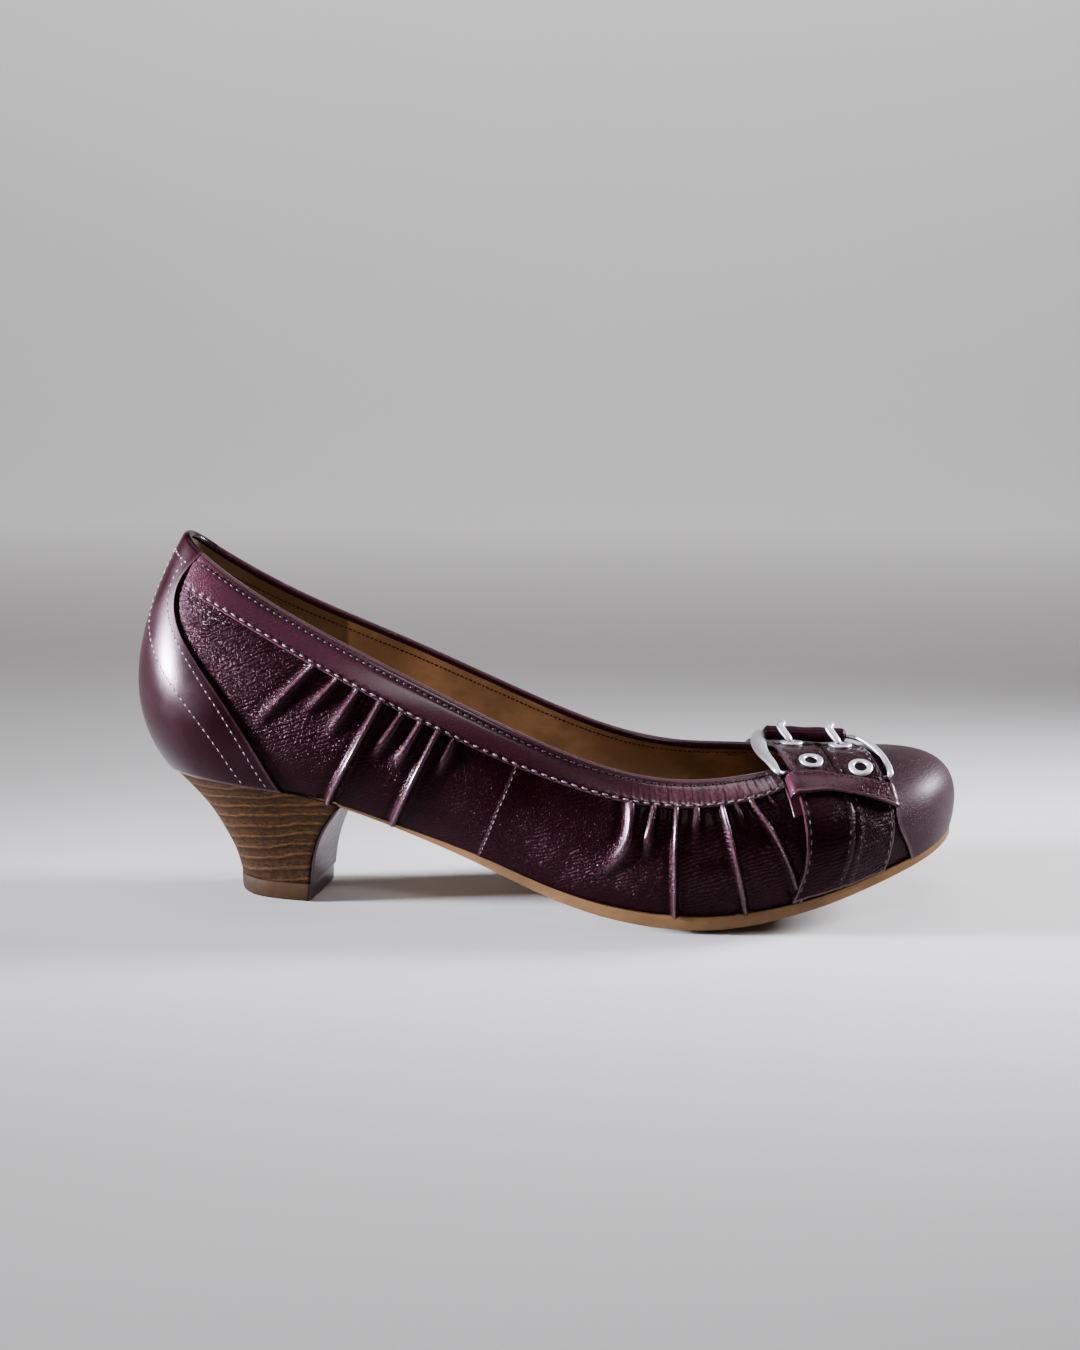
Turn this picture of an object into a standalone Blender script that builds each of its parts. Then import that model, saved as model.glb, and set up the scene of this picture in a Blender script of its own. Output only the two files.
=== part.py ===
"""Low heel pump for the right foot, as separate solids, in metres.

+X points to the toe, +Y to the inner (medial) side and +Z up. The shoe stands on its top lift and
on the flat of its forefoot at z = 0. The last is described by three rings that run round the shoe:
the feather edge above the sole, the girth at mid height, and the top, which is the topline round
the opening and the ridge of the vamp in front of it. A fall line joins the three at each place.
"""

from math import cos, pi, radians, sin

import bmesh
import bpy
import numpy as np

# Driving dimensions
LENGTH = 0.2480
BALL_WIDTH = 0.0725
BACK_HEIGHT = 0.1087
WALL = 0.0016
GAP = 0.0003
KEEPER_GAP = 0.00045
COUNTER_THICKNESS = 0.0009
TOE_CAP_THICKNESS = 0.0008
BAND_THICKNESS = 0.0008
STRAP_THICKNESS = 0.0014
KEEPER_THICKNESS = 0.0013
INSOLE_THICKNESS = 0.0018
BREAST_COVER_THICKNESS = 0.0009
LIFT_HEIGHT = 0.0055
SOLE_CROWN = 0.0022
SLEEVE_RADIUS = 0.0022
BAR_RADIUS = 0.0009
PRONG_RADIUS = 0.0010
EYELET_RADIUS = 0.0029
EYELET_HOLE_RADIUS = 0.0015
EYELET_RISE = 0.0007
EYELET_SEAT = 0.0006

# The tables are in millimetres of the sample size, which these lengths scale to the real one.
SAMPLE = np.array((248.0, 72.5, 108.7))
SCALE = np.array((LENGTH, BALL_WIDTH, BACK_HEIGHT)) / SAMPLE
# Where the middle of the shoe's box falls in the tables.
MIDDLE = np.array((-0.905, 1.645, 0.0))
MM = 0.001

# Rings of the last: u runs along each side from the heel's back (0) to the toe's tip (1).
# f is the feather edge, g the girth and t the top; x is the length, l and m the reach to the
# lateral and medial side, z the height.
LAST_COLUMNS = ("u", "fx", "fl", "fm", "gx", "gl", "gm", "gz", "tx", "tl", "tm", "tz")
LAST = (
    (0.00, -115.2, -4.0, 4.0, -123.2, -4.0, 4.0, 69.0, -108.6, -4.5, 4.5, 108.7),
    (0.05, -111.3, 7.5, 15.5, -118.6, 9.2, 17.2, 68.5, -106.3, 2.6, 10.6, 106.6),
    (0.11, -99.6, 18.6, 25.6, -105.4, 21.2, 28.7, 66.0, -97.6, 8.2, 14.7, 100.3),
    (0.20, -77.0, 24.5, 29.0, -80.0, 27.8, 32.8, 60.0, -77.0, 14.0, 19.5, 88.2),
    (0.31, -47.0, 25.5, 26.0, -47.0, 31.0, 32.0, 49.5, -46.0, 21.3, 25.3, 73.5),
    (0.43, -12.0, 28.5, 25.0, -11.0, 33.0, 31.5, 36.0, -10.0, 26.5, 28.0, 56.8),
    (0.54, 22.0, 33.5, 31.0, 20.0, 36.0, 34.5, 26.5, 18.0, 27.0, 27.7, 45.9),
    (0.64, 50.0, 34.5, 36.0, 46.0, 36.5, 38.0, 25.0, 42.0, 25.8, 26.0, 41.9),
    (0.72, 72.0, 31.5, 36.5, 68.0, 32.5, 36.5, 29.0, 61.5, 20.5, 20.0, 42.9),
    (0.76, 82.0, 28.5, 35.2, 77.5, 29.5, 35.0, 33.0, 69.3, 11.0, 13.0, 43.3),
    (0.79, 89.0, 25.5, 33.5, 84.5, 26.5, 33.2, 36.0, 73.0, -3.0, 3.0, 43.5),
    (0.87, 104.5, 17.6, 28.2, 100.0, 18.0, 28.0, 38.0, 86.0, -4.0, 4.0, 44.4),
    (0.94, 115.6, 7.4, 20.6, 112.0, 7.4, 20.0, 39.2, 97.0, -5.0, 5.0, 45.4),
    (1.00, 120.7, -8.0, 8.0, 119.0, -7.5, 7.5, 39.4, 103.0, -6.0, 6.0, 45.3),
)
U_THROAT = 0.79
# Span of u before and after the throat over which the girth's height turns to the ridge's.
THROAT_BLEND = (0.03, 0.02)
# The wall's direction is read up to this height, as the two sides meet at the top.
NORMAL_TOP = 0.985
NUDGE = 1e-4
SHARP_ANGLE = 38
U_BREAST = 0.272

# Underside of the shoe: height of the sole's edge and thickness of that edge along the length.
SOLE_COLUMNS = ("x", "edge", "thickness")
SOLE = (
    (-125, 39.0, 0.8),
    (-112, 38.8, 0.8),
    (-100, 38.9, 0.8),
    (-87, 37.9, 0.8),
    (-77, 36.8, 0.8),
    (-67, 35.0, 0.8),
    (-56, 32.0, 0.9),
    (-40, 26.3, 1.2),
    (-20, 18.3, 2.4),
    (0, 9.8, 3.2),
    (15, 5.0, 3.6),
    (30, 2.3, 3.8),
    (45, 1.4, 3.9),
    (58, 2.4, 3.8),
    (72, 5.2, 3.4),
    (86, 8.8, 3.1),
    (100, 13.3, 2.8),
    (112, 17.6, 2.7),
    (124, 22.0, 2.6),
)
SOLE_EDGE_REACH = 0.9
INSOLE_INSET = 2.2

# Heel block from the seat (drop 0) to the top lift (drop 1): its back and front along the length,
# its width as a share of the seat's, and its turn about the upright.
HEEL_COLUMNS = ("drop", "back", "front", "width", "turn")
HEEL = (
    (0.00, -115.6, -59.2, 1.000, 0.0),
    (0.12, -111.8, -60.8, 0.860, -1.5),
    (0.25, -107.8, -62.9, 0.735, -3.0),
    (0.42, -103.3, -65.2, 0.610, -5.0),
    (0.60, -99.7, -67.0, 0.515, -6.5),
    (0.80, -96.3, -68.2, 0.455, -8.0),
    (1.00, -94.4, -68.8, 0.430, -8.6),
)
# Top lift, from its top to its foot, in the same columns with its own drop.
LIFT = ((0.0, -94.5, -68.7, 0.435, -8.6), (1.0, -93.6, -69.2, 0.425, -8.6))
SEAT_REACH = 0.4
# Cover of the heel's front face: its span down the heel and its inset from each side.
BREAST_SPAN = (0.07, 0.985)
BREAST_INSET = 0.04

# Front edge of the counter: its place along the side at each height of the wall.
COUNTER_COLUMNS = ("v", "u")
COUNTER = (
    (0.0, 0.204),
    (0.3, 0.188),
    (0.5, 0.162),
    (0.65, 0.126),
    (0.78, 0.085),
    (0.88, 0.071),
    (1.0, 0.084),
)
COUNTER_HEIGHTS = (0.02, 0.992)

# Rear edge of the toe cap on each side: its place along the side at each height of the wall.
TOE_CAP_FOOT = 0.02
TOE_CAP_COLUMNS = ("v", "lateral", "medial")
TOE_CAP = (
    (0.0, 0.884, 0.812),
    (0.12, 0.874, 0.818),
    (0.28, 0.864, 0.824),
    (0.45, 0.872, 0.830),
    (0.62, 0.886, 0.846),
    (0.8, 0.908, 0.878),
    (1.0, 0.928, 0.928),
)

# Lower edge of the collar band: height on the wall along the side.
BAND_COLUMNS = ("u", "v")
BAND = (
    (0.08, 0.885),
    (0.16, 0.88),
    (0.23, 0.856),
    (0.30, 0.83),
    (0.42, 0.808),
    (0.55, 0.818),
    (0.74, 0.815),
)
BAND_LATERAL = (0.094, 0.730)
BAND_MEDIAL = (0.094, 0.668)
BAND_TOP = 0.99

# Strap on the wall of each side: rear and front edge at each height of the wall.
STRAP_COLUMNS = ("v", "rear", "front")
STRAP_LATERAL = (
    (0.0, 0.724, 0.832),
    (0.1, 0.734, 0.842),
    (0.28, 0.741, 0.854),
    (0.5, 0.750, 0.865),
    (0.7, 0.754, 0.872),
    (1.0, 0.758, 0.878),
)
STRAP_MEDIAL = (
    (0.0, 0.690, 0.800),
    (0.3, 0.695, 0.812),
    (0.6, 0.700, 0.822),
    (1.0, 0.705, 0.830),
)
STRAP_FOOT = 0.03
# Height on the wall where the strap leaves it, from its rear to its front edge.
LEAVE_COLUMNS = ("across", "lateral", "medial")
LEAVE = ((0.0, 0.88, 0.80), (0.5, 0.725, 0.74), (1.0, 0.575, 0.64))
# How far the strap's underside stands off the wall from its foot to where it leaves.
STAND_OFF_COLUMNS = ("share", "lateral", "medial")
STAND_OFF = ((0.0, 0.4, 0.4), (0.55, 0.7, 0.6), (0.8, 0.9, 0.7), (1.0, 2.0, 1.0))
# Underside of the strap between its walls: rear edge and front edge of each fold.
CREST = ((67.4, -2.0, 47.2), (94.4, -4.0, 46.6))
DIP = ((65.6, 6.4, 45.8), (92.2, 4.6, 46.0))
SHOULDER = ((63.5, 15.0, 44.6), (89.6, 13.0, 45.0))
KEEPER_SPAN = (-0.035, 1.035)
KEEPER_HEIGHTS = (0.80, 0.985)

# Buckle frame: one row for each place round it, with the width and the height of its section.
FRAME_COLUMNS = ("x", "y", "z", "wide", "high")
FRAME = (
    (68.2, -21.2, 44.6, 1.8, 1.4),
    (66.4, -15.5, 45.9, 2.4, 1.6),
    (64.3, -8.0, 47.0, 3.2, 1.8),
    (63.2, 0.0, 48.6, 3.8, 2.0),
    (63.8, 5.6, 49.9, 3.0, 2.1),
    (66.6, 6.2, 50.1, 1.8, 1.8),
    (77.0, 5.2, 50.1, 1.8, 1.8),
    (87.6, 4.2, 50.0, 1.8, 1.8),
    (91.0, 3.7, 49.9, 2.8, 2.1),
    (94.2, 0.6, 49.4, 3.4, 2.0),
    (97.6, -5.0, 47.9, 3.2, 1.8),
    (99.8, -11.0, 45.7, 2.6, 1.6),
    (100.4, -16.6, 43.4, 1.8, 1.4),
)
# Near bar of the frame on the lateral wall, under the strap.
NEAR_BAR_COLUMNS = ("u", "v", "lift")
NEAR_BAR = ((0.871, 0.64, 0.9), (0.832, 0.725, 0.85), (0.795, 0.82, 0.85), (0.764, 0.91, 0.9))
NEAR_BAR_SIZE = (1.3, 0.8)
SLEEVE_ENDS = ((66.4, 6.2, 50.1), (88.0, 4.15, 50.0))
# The prong bends over the roll through these angles, set back from its eyelet along the roll.
PRONG_ANGLES = (140, 110, 85, 60, 30, 0, -25)
PRONG_SET_BACK = 2.0
PRONG_SECTION = (1.15, 0.9)
# Height of an eyelet's rounded rim at its outer and inner edge.
EYELET_EDGES = (0.3, 0.35)
# Place of the two halves' middles across the strap.
HALVES = {"rear": 0.25, "front": 0.75}
# Place of the eyelets along the strap, where 4 is its leaving the lateral wall and 5 its crest.
EYELET_FOLD = 4.27
PRONG_EYELET_FOLD = 5.2

LEATHER = ("plum_leather", (0.045, 0.012, 0.020, 1.0), 0.42, 0.0)
BAND_LEATHER = ("band_leather", (0.065, 0.016, 0.028, 1.0), 0.40, 0.0)
TAN_SOLE = ("tan_sole", (0.300, 0.155, 0.075, 1.0), 0.55, 0.0)
STACK = ("stacked_leather", (0.190, 0.088, 0.038, 1.0), 0.55, 0.0)
BREAST = ("breast_cover", (0.075, 0.040, 0.052, 1.0), 0.45, 0.0)
LINING = ("lining_leather", (0.280, 0.150, 0.075, 1.0), 0.60, 0.0)
PEWTER = ("pewter", (0.560, 0.550, 0.600, 1.0), 0.28, 1.0)


def natural(x, y):
    """Natural cubic spline through the points, as a function of x."""
    x = np.asarray(x, float)
    y = np.asarray(y, float)
    count = len(x)
    step = np.diff(x)
    matrix = np.zeros((count, count))
    target = np.zeros_like(y)
    matrix[0, 0] = 1.0
    matrix[-1, -1] = 1.0
    for i in range(1, count - 1):
        matrix[i, i - 1:i + 2] = step[i - 1], 2 * (step[i - 1] + step[i]), step[i]
        target[i] = 6 * ((y[i + 1] - y[i]) / step[i] - (y[i] - y[i - 1]) / step[i - 1])
    bend = np.linalg.solve(matrix, target)

    def value(at):
        at = np.asarray(at, float)
        i = np.clip(np.searchsorted(x, at) - 1, 0, count - 2)
        width = x[i + 1] - x[i]
        p = (x[i + 1] - at) / width
        q = (at - x[i]) / width
        if y.ndim > 1:
            p, q, width = p[..., None], q[..., None], width[..., None]
        curve = ((p**3 - p) * bend[i] + (q**3 - q) * bend[i + 1]) * width**2 / 6
        return p * y[i] + q * y[i + 1] + curve

    return value


def columns(names, rows):
    """The table's columns by name."""
    return dict(zip(names, np.array(rows, float).T))


def round_the_shoe(lateral, medial):
    """Periodic spline of a ring's column: forward along the lateral side and back along the medial."""
    u = columns(LAST_COLUMNS, LAST)["u"]
    turn = np.concatenate([u / 2, 1 - u[-2:0:-1] / 2])
    value = np.concatenate([lateral, medial[-2:0:-1]])
    spline = natural(np.concatenate([turn - 1, turn, turn + 1]), np.tile(value, 3))
    return lambda t: spline(np.mod(t, 1.0))


def last_rings():
    """The three rings' coordinates as functions of the turn t round the shoe."""
    c = columns(LAST_COLUMNS, LAST)
    rings = {}
    for ring in "fgt":
        rings[ring + "x"] = round_the_shoe(c[ring + "x"], c[ring + "x"])
        rings[ring + "y"] = round_the_shoe(-c[ring + "l"], c[ring + "m"])
    for ring in "gt":
        rings[ring + "z"] = round_the_shoe(c[ring + "z"], c[ring + "z"])
    return rings


RINGS = last_rings()
SOLE_TABLE = columns(SOLE_COLUMNS, SOLE)
sole_edge = natural(SOLE_TABLE["x"], SOLE_TABLE["edge"])
edge_thickness = natural(SOLE_TABLE["x"], SOLE_TABLE["thickness"])


def smooth(low, high, at):
    """Soft step from 0 at low to 1 at high."""
    s = np.clip((np.asarray(at, float) - low) / (high - low), 0.0, 1.0)
    return s * s * (3 - 2 * s)


def along_side(t):
    """Place u along its side of the turn t."""
    t = np.mod(t, 1.0)
    return 2 * np.minimum(t, 1 - t)


def feather(t):
    """Feather edge, where the upper meets the sole."""
    x = RINGS["fx"](t)
    return np.stack([x, RINGS["fy"](t), sole_edge(x) + edge_thickness(x)], -1)


def top(t):
    """Topline, and in front of the throat the vamp's ridge, which both sides share."""
    here = np.stack([RINGS["tx"](t), RINGS["ty"](t), RINGS["tz"](t)], -1)
    across = np.stack([RINGS["tx"](1 - t), RINGS["ty"](1 - t), RINGS["tz"](1 - t)], -1)
    return np.where((along_side(t) >= U_THROAT)[..., None], 0.5 * (here + across), here)


def girth(t):
    """Girth ring; on the vamp its height lets the fall lines reach the ridge level."""
    level = (feather(t)[..., 2] + 3 * top(t)[..., 2]) / 4
    share = smooth(U_THROAT - THROAT_BLEND[0], U_THROAT + THROAT_BLEND[1], along_side(t))
    z = RINGS["gz"](t) * (1 - share) + level * share
    return np.stack([RINGS["gx"](t), RINGS["gy"](t), z], -1)


def wall(t, v):
    """Outer face of the upper at the turn t and the height v, 0 at the feather edge and 1 at the top."""
    t, v = np.broadcast_arrays(np.asarray(t, float), np.asarray(v, float))
    v = v[..., None]
    low = feather(t) * (1 - v) * (1 - 2 * v)
    middle = girth(t) * 4 * v * (1 - v)
    return low + middle + top(t) * v * (2 * v - 1)


def wall_normal(t, v):
    """Outward direction of the upper's outer face, read just below the top, where the sides meet."""
    t, v = np.broadcast_arrays(np.asarray(t, float), np.minimum(v, NORMAL_TOP))
    forward = wall(t + NUDGE, v) - wall(t - NUDGE, v)
    up = wall(t, v + NUDGE) - wall(t, np.maximum(v - NUDGE, 0.0))
    normal = np.cross(forward, up)
    return normal / np.linalg.norm(normal, axis=-1, keepdims=True)


def side_turn(u, side):
    """Turn round the shoe of the place u on the lateral or medial side."""
    return u / 2 if side == "lateral" else 1 - u / 2


def ring_offset(t, reach):
    """Feather edge moved outwards in plan by reach."""
    tangent = feather(t + NUDGE) - feather(t - NUDGE)
    outward = np.stack([tangent[..., 1], -tangent[..., 0]], -1)
    outward /= np.linalg.norm(outward, axis=-1, keepdims=True)
    point = feather(t)
    point[..., :2] += outward * np.asarray(reach)[..., None]
    return point


def real(points):
    """Points of the tables in metres, in the part's own frame."""
    return (np.asarray(points, float) - MIDDLE) * SCALE


def finish_material(finish):
    """Material of a finish: its name, colour, roughness and metallic value."""
    name, colour, roughness, metallic = finish
    material = bpy.data.materials.get(name)
    if material is None:
        material = bpy.data.materials.new(name)
        material.use_nodes = True
        shader = material.node_tree.nodes["Principled BSDF"]
        shader.inputs["Base Color"].default_value = colour
        shader.inputs["Roughness"].default_value = roughness
        shader.inputs["Metallic"].default_value = metallic
    return material


def add_piece(name, points, faces, finish, closed=True):
    """Object from points in table units; coinciding points are joined."""
    mesh = bpy.data.meshes.new(name)
    mesh.from_pydata([tuple(p) for p in real(points)], [], faces)
    body = bmesh.new()
    body.from_mesh(mesh)
    bmesh.ops.remove_doubles(body, verts=body.verts, dist=1e-5)
    bmesh.ops.dissolve_degenerate(body, edges=body.edges, dist=1e-6)
    if closed:
        bmesh.ops.recalc_face_normals(body, faces=body.faces)
    body.to_mesh(mesh)
    body.free()
    mesh.shade_smooth()
    mesh.set_sharp_from_angle(angle=radians(SHARP_ANGLE))
    mesh.materials.append(finish_material(finish))
    piece = bpy.data.objects.new(name, mesh)
    bpy.context.scene.collection.objects.link(piece)
    return piece


def grid_faces(rows, across, loop=False, start=0):
    """Quads of a grid of points, row by row; loop joins the last row to the first."""
    faces = []
    for i in range(rows if loop else rows - 1):
        for j in range(across - 1):
            a = start + i * across + j
            b = start + (i + 1) % rows * across + j
            faces.append((a, b, b + 1, a + 1))
    return faces


def add_skin(name, grid, thickness, finish, offset=1.0, loop=False):
    """Sheet of leather: a grid of points given its thickness, outwards where offset is 1."""
    rows, across = grid.shape[:2]
    piece = add_piece(name, grid.reshape(-1, 3), grid_faces(rows, across, loop), finish, closed=False)
    solidify = piece.modifiers.new("thickness", "SOLIDIFY")
    solidify.thickness = thickness
    solidify.offset = offset
    solidify.use_even_offset = True
    return piece


def add_slab(name, upper_grid, lower_grid, finish):
    """Closed plate between two grids of the same size."""
    rows, across = upper_grid.shape[:2]
    count = rows * across
    faces = grid_faces(rows, across) + [f[::-1] for f in grid_faces(rows, across, start=count)]
    border = [i * across for i in range(rows)]
    border += [(rows - 1) * across + j for j in range(1, across)]
    border += [i * across + across - 1 for i in range(rows - 2, -1, -1)]
    border += list(range(across - 2, 0, -1))
    for a, b in zip(border, border[1:] + border[:1]):
        faces.append((a, b, b + count, a + count))
    points = np.concatenate([upper_grid.reshape(-1, 3), lower_grid.reshape(-1, 3)])
    return add_piece(name, points, faces, finish)


def add_loft(name, rings, finish):
    """Closed body through rings of the same number of points, with caps that pair a ring's sides."""
    rings = np.asarray(rings)
    levels, count = rings.shape[:2]
    faces = []
    for k in range(levels - 1):
        for i in range(count):
            a = k * count + i
            b = k * count + (i + 1) % count
            faces.append((a, b, b + count, a + count))
    for start in (0, (levels - 1) * count):
        for i in range(count // 2 - 1):
            faces.append((start + i, start + i + 1, start + count - 2 - i, start + count - 1 - i))
    return add_piece(name, rings.reshape(-1, 3), faces, finish)


def add_sweep(name, path, wide, high, finish, sides=8, loop=False):
    """Bar of oval section along a path; its height stands up from the path, its width lies across."""
    path = np.asarray(path, float)
    count = len(path)
    if loop:
        tangent = np.roll(path, -1, 0) - np.roll(path, 1, 0)
    else:
        tangent = np.gradient(path, axis=0)
    tangent /= np.linalg.norm(tangent, axis=1, keepdims=True)
    across = np.cross(tangent, (0.0, 0.0, 1.0))
    across /= np.linalg.norm(across, axis=1, keepdims=True)
    up = np.cross(across, tangent)
    turn = 2 * pi * np.arange(sides) / sides
    section = np.cos(turn)[None, :, None] * across[:, None] * np.asarray(wide)[:, None, None] / 2
    section = section + np.sin(turn)[None, :, None] * up[:, None] * np.asarray(high)[:, None, None] / 2
    points = path[:, None] + section
    faces = []
    for i in range(count if loop else count - 1):
        for j in range(sides):
            a, b = i * sides, (i + 1) % count * sides
            faces.append((a + j, b + j, b + (j + 1) % sides, a + (j + 1) % sides))
    if not loop:
        faces.append(tuple(range(sides)))
        faces.append(tuple((count - 1) * sides + j for j in range(sides)))
    return add_piece(name, points.reshape(-1, 3), faces, finish)


def side_places(*spans):
    """Places along a side: spans of (start, end, count) put end to end."""
    places = [np.linspace(start, end, count, endpoint=False) for start, end, count in spans]
    return np.concatenate(places + [[spans[-1][1]]])


def make_upper():
    """Hollow upper: its outer face given the wall's thickness inwards."""
    u = side_places((0.0, 0.2, 8), (0.2, U_THROAT, 20), (U_THROAT, 1.0, 10))
    t = np.concatenate([u / 2, 1 - u[-2:0:-1] / 2])
    v = np.linspace(0.0, 1.0, 9)
    grid = wall(t[:, None], v[None, :])
    return add_skin("upper", grid, WALL, LEATHER, offset=-1.0, loop=True)


def sole_rows(u, reach, across):
    """Points across the shoe at each place u, from the lateral to the medial edge."""
    lateral = ring_offset(u / 2, reach)
    medial = ring_offset(1 - u / 2, reach)
    share = np.linspace(0.0, 1.0, across)[None, :, None]
    return lateral[:, None] * (1 - share) + medial[:, None] * share


def make_outsole():
    """Thin sole from the heel's breast to the toe, crowned underneath and flat where it stands."""
    u = side_places((U_BREAST - 0.003, 0.85, 22), (0.85, 1.0, 10))
    across = 9
    reach = SOLE_EDGE_REACH * smooth(0.42, 0.58, u)
    grid = sole_rows(u, reach, across)
    x = grid[..., 0]
    upper_face = grid.copy()
    upper_face[..., 2] = sole_edge(x) + edge_thickness(x) - GAP / MM
    bow = 1 - np.linspace(-1.0, 1.0, across)**2
    crown = SOLE_CROWN / MM * smooth(-30, 20, x) * (1 - smooth(85, 124, x)) * bow[None, :]
    lower_face = grid.copy()
    lower_face[..., 2] = np.maximum(sole_edge(x) - crown, 0.0)
    return add_slab("outsole", upper_face, lower_face, TAN_SOLE)


def make_insole():
    """Sock board inside the upper, on the sole and the heel's seat."""
    u = side_places((0.0, 0.12, 7), (0.12, 0.85, 18), (0.85, 1.0, 8))
    grid = sole_rows(u, np.full(len(u), -INSOLE_INSET), 6)
    x = grid[..., 0]
    lower_face = grid.copy()
    lower_face[..., 2] = sole_edge(x) + edge_thickness(x)
    upper_face = lower_face + np.array((0.0, 0.0, INSOLE_THICKNESS / MM))
    return add_slab("insole", upper_face, lower_face, LINING)


def heel_ring(row, top_height):
    """Section of the heel: the seat's outline drawn in to the row's back, front, width and turn."""
    u = side_places((U_BREAST, 0.2, 4), (0.2, 0.0, 9))
    t = np.concatenate([u / 2, 1 - u[::-1] / 2])
    seat = ring_offset(t, np.full(len(t), SEAT_REACH))
    back, front = seat[:, 0].min(), seat[:, 0].max()
    share = (seat[:, 0] - back) / (front - back)
    middle_y = 0.5 * (seat[0, 1] + seat[-1, 1])
    x = row["back"] + share * (row["front"] - row["back"])
    y = (seat[:, 1] - middle_y) * row["width"]
    pivot = 0.5 * (row["back"] + row["front"])
    turn = radians(row["turn"])
    ring = seat.copy()
    ring[:, 0] = pivot + (x - pivot) * cos(turn) - y * sin(turn)
    ring[:, 1] = middle_y * (1 - row["drop"]) + (x - pivot) * sin(turn) + y * cos(turn)
    seat_z = seat[:, 2] - GAP / MM
    ring[:, 2] = seat_z * (1 - row["drop"]) + top_height * row["drop"]
    return ring


def heel_rings():
    """Sections of the heel block from the seat down to the top lift."""
    rows = [dict(zip(HEEL_COLUMNS, row)) for row in HEEL]
    return [heel_ring(row, (LIFT_HEIGHT + GAP) / MM) for row in rows]


def make_heel():
    """Stacked heel block."""
    return add_loft("heel", heel_rings(), STACK)


def make_top_lift():
    """Flat plate that the heel stands on."""
    rings = []
    for row in LIFT:
        ring = heel_ring(dict(zip(HEEL_COLUMNS, row), drop=1.0), 0.0)
        ring[:, 2] = LIFT_HEIGHT / MM * (1 - row[0])
        rings.append(ring)
    return add_loft("top_lift", rings, TAN_SOLE)


def make_heel_breast():
    """Thin cover on the heel's front face."""
    rings = np.asarray(heel_rings())
    drops = columns(HEEL_COLUMNS, HEEL)["drop"]
    drop = np.linspace(*BREAST_SPAN, 9)
    edges = np.stack([natural(drops, rings[:, corner])(drop) for corner in (0, -1)], 1)
    share = np.linspace(BREAST_INSET, 1 - BREAST_INSET, 4)[None, :, None]
    grid = edges[:, :1] * (1 - share) + edges[:, 1:] * share
    grid[..., 0] += GAP / MM
    return add_skin("heel_breast", grid, BREAST_COVER_THICKNESS, BREAST)


def overlay(u, v, side, lift):
    """Points on the wall of a side, lifted off it."""
    t = side_turn(u, side)
    return wall(t, v) + wall_normal(t, v) * np.asarray(lift)[..., None]


def make_counter():
    """Back panel from the seat to the topline."""
    c = columns(COUNTER_COLUMNS, COUNTER)
    edge = natural(c["v"], c["u"])
    v = np.linspace(*COUNTER_HEIGHTS, 11)
    share = np.linspace(-1.0, 1.0, 21)
    t, v = np.broadcast_arrays(share[:, None] * edge(v) / 2, v)
    grid = wall(t, v) + wall_normal(t, v) * GAP / MM
    return add_skin("counter", grid, COUNTER_THICKNESS, LEATHER)


def make_toe_cap():
    """Smooth panel over the toe; its two sides meet on the vamp's ridge."""
    c = columns(TOE_CAP_COLUMNS, TOE_CAP)
    v = np.linspace(TOE_CAP_FOOT, 1.0, 11)
    rear_lateral = natural(c["v"], c["lateral"])(v) / 2
    rear_medial = 1 - natural(c["v"], c["medial"])(v) / 2
    share = np.linspace(0.0, 1.0, 13)[:, None]
    lateral = rear_lateral * (1 - share) + 0.5 * share
    medial = 0.5 * (1 - share) + rear_medial * share
    t = np.concatenate([lateral, medial[1:]])
    v = np.broadcast_to(v, t.shape)
    normal = wall_normal(t, v)
    normal[:, -1] = 0.5 * (normal[:, -1] + normal[::-1, -1])
    grid = wall(t, v) + normal * GAP / MM
    return add_skin("toe_cap", grid, TOE_CAP_THICKNESS, LEATHER)


def make_collar_band(side, span):
    """Binding band below the topline of one side."""
    c = columns(BAND_COLUMNS, BAND)
    low = natural(c["u"], c["v"])
    u = np.linspace(*span, 30)
    if side == "medial":
        u = u[::-1]
    share = np.linspace(0.0, 1.0, 3)
    v = low(u)[:, None] * (1 - share) + BAND_TOP * share
    grid = overlay(u[:, None] + 0 * v, v, side, np.full(v.shape, GAP / MM))
    return add_skin("collar_band_" + side, grid, BAND_THICKNESS, BAND_LEATHER)


def strap_on_wall(a, share, side, extra=0.0):
    """Underside of the strap on a side: a across it from rear to front, share up from its foot."""
    c = columns(STRAP_COLUMNS, STRAP_LATERAL if side == "lateral" else STRAP_MEDIAL)
    leave = columns(LEAVE_COLUMNS, LEAVE)
    stand = columns(STAND_OFF_COLUMNS, STAND_OFF)
    v = STRAP_FOOT + (natural(leave["across"], leave[side])(a) - STRAP_FOOT) * share
    u = np.interp(v, c["v"], c["rear"]) * (1 - a) + np.interp(v, c["v"], c["front"]) * a
    lift = np.interp(share, stand["share"], stand[side]) + extra
    return overlay(u, v, side, lift)


def strap_line(a):
    """Underside of the strap at a across it, as a curve from the lateral to the medial foot."""
    a = float(a)
    shares = np.array((0.0, 0.3, 0.6, 0.85, 1.0))
    lateral = strap_on_wall(np.full(5, a), shares, "lateral")
    medial = strap_on_wall(np.full(5, a), shares[::-1], "medial")
    folds = [np.array(fold[0]) * (1 - a) + np.array(fold[1]) * a for fold in (CREST, DIP, SHOULDER)]
    points = np.concatenate([lateral, folds, medial])
    chord = np.concatenate([[0.0], np.cumsum(np.linalg.norm(np.diff(points, axis=0), axis=1))])
    knots = chord / chord[-1]
    return natural(knots, points), knots


def strap_point(a, fold):
    """Point of the strap's underside, counted in the places that its curve runs through."""
    curve, knots = strap_line(a)
    return curve(np.interp(fold, np.arange(len(knots)), knots))


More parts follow.
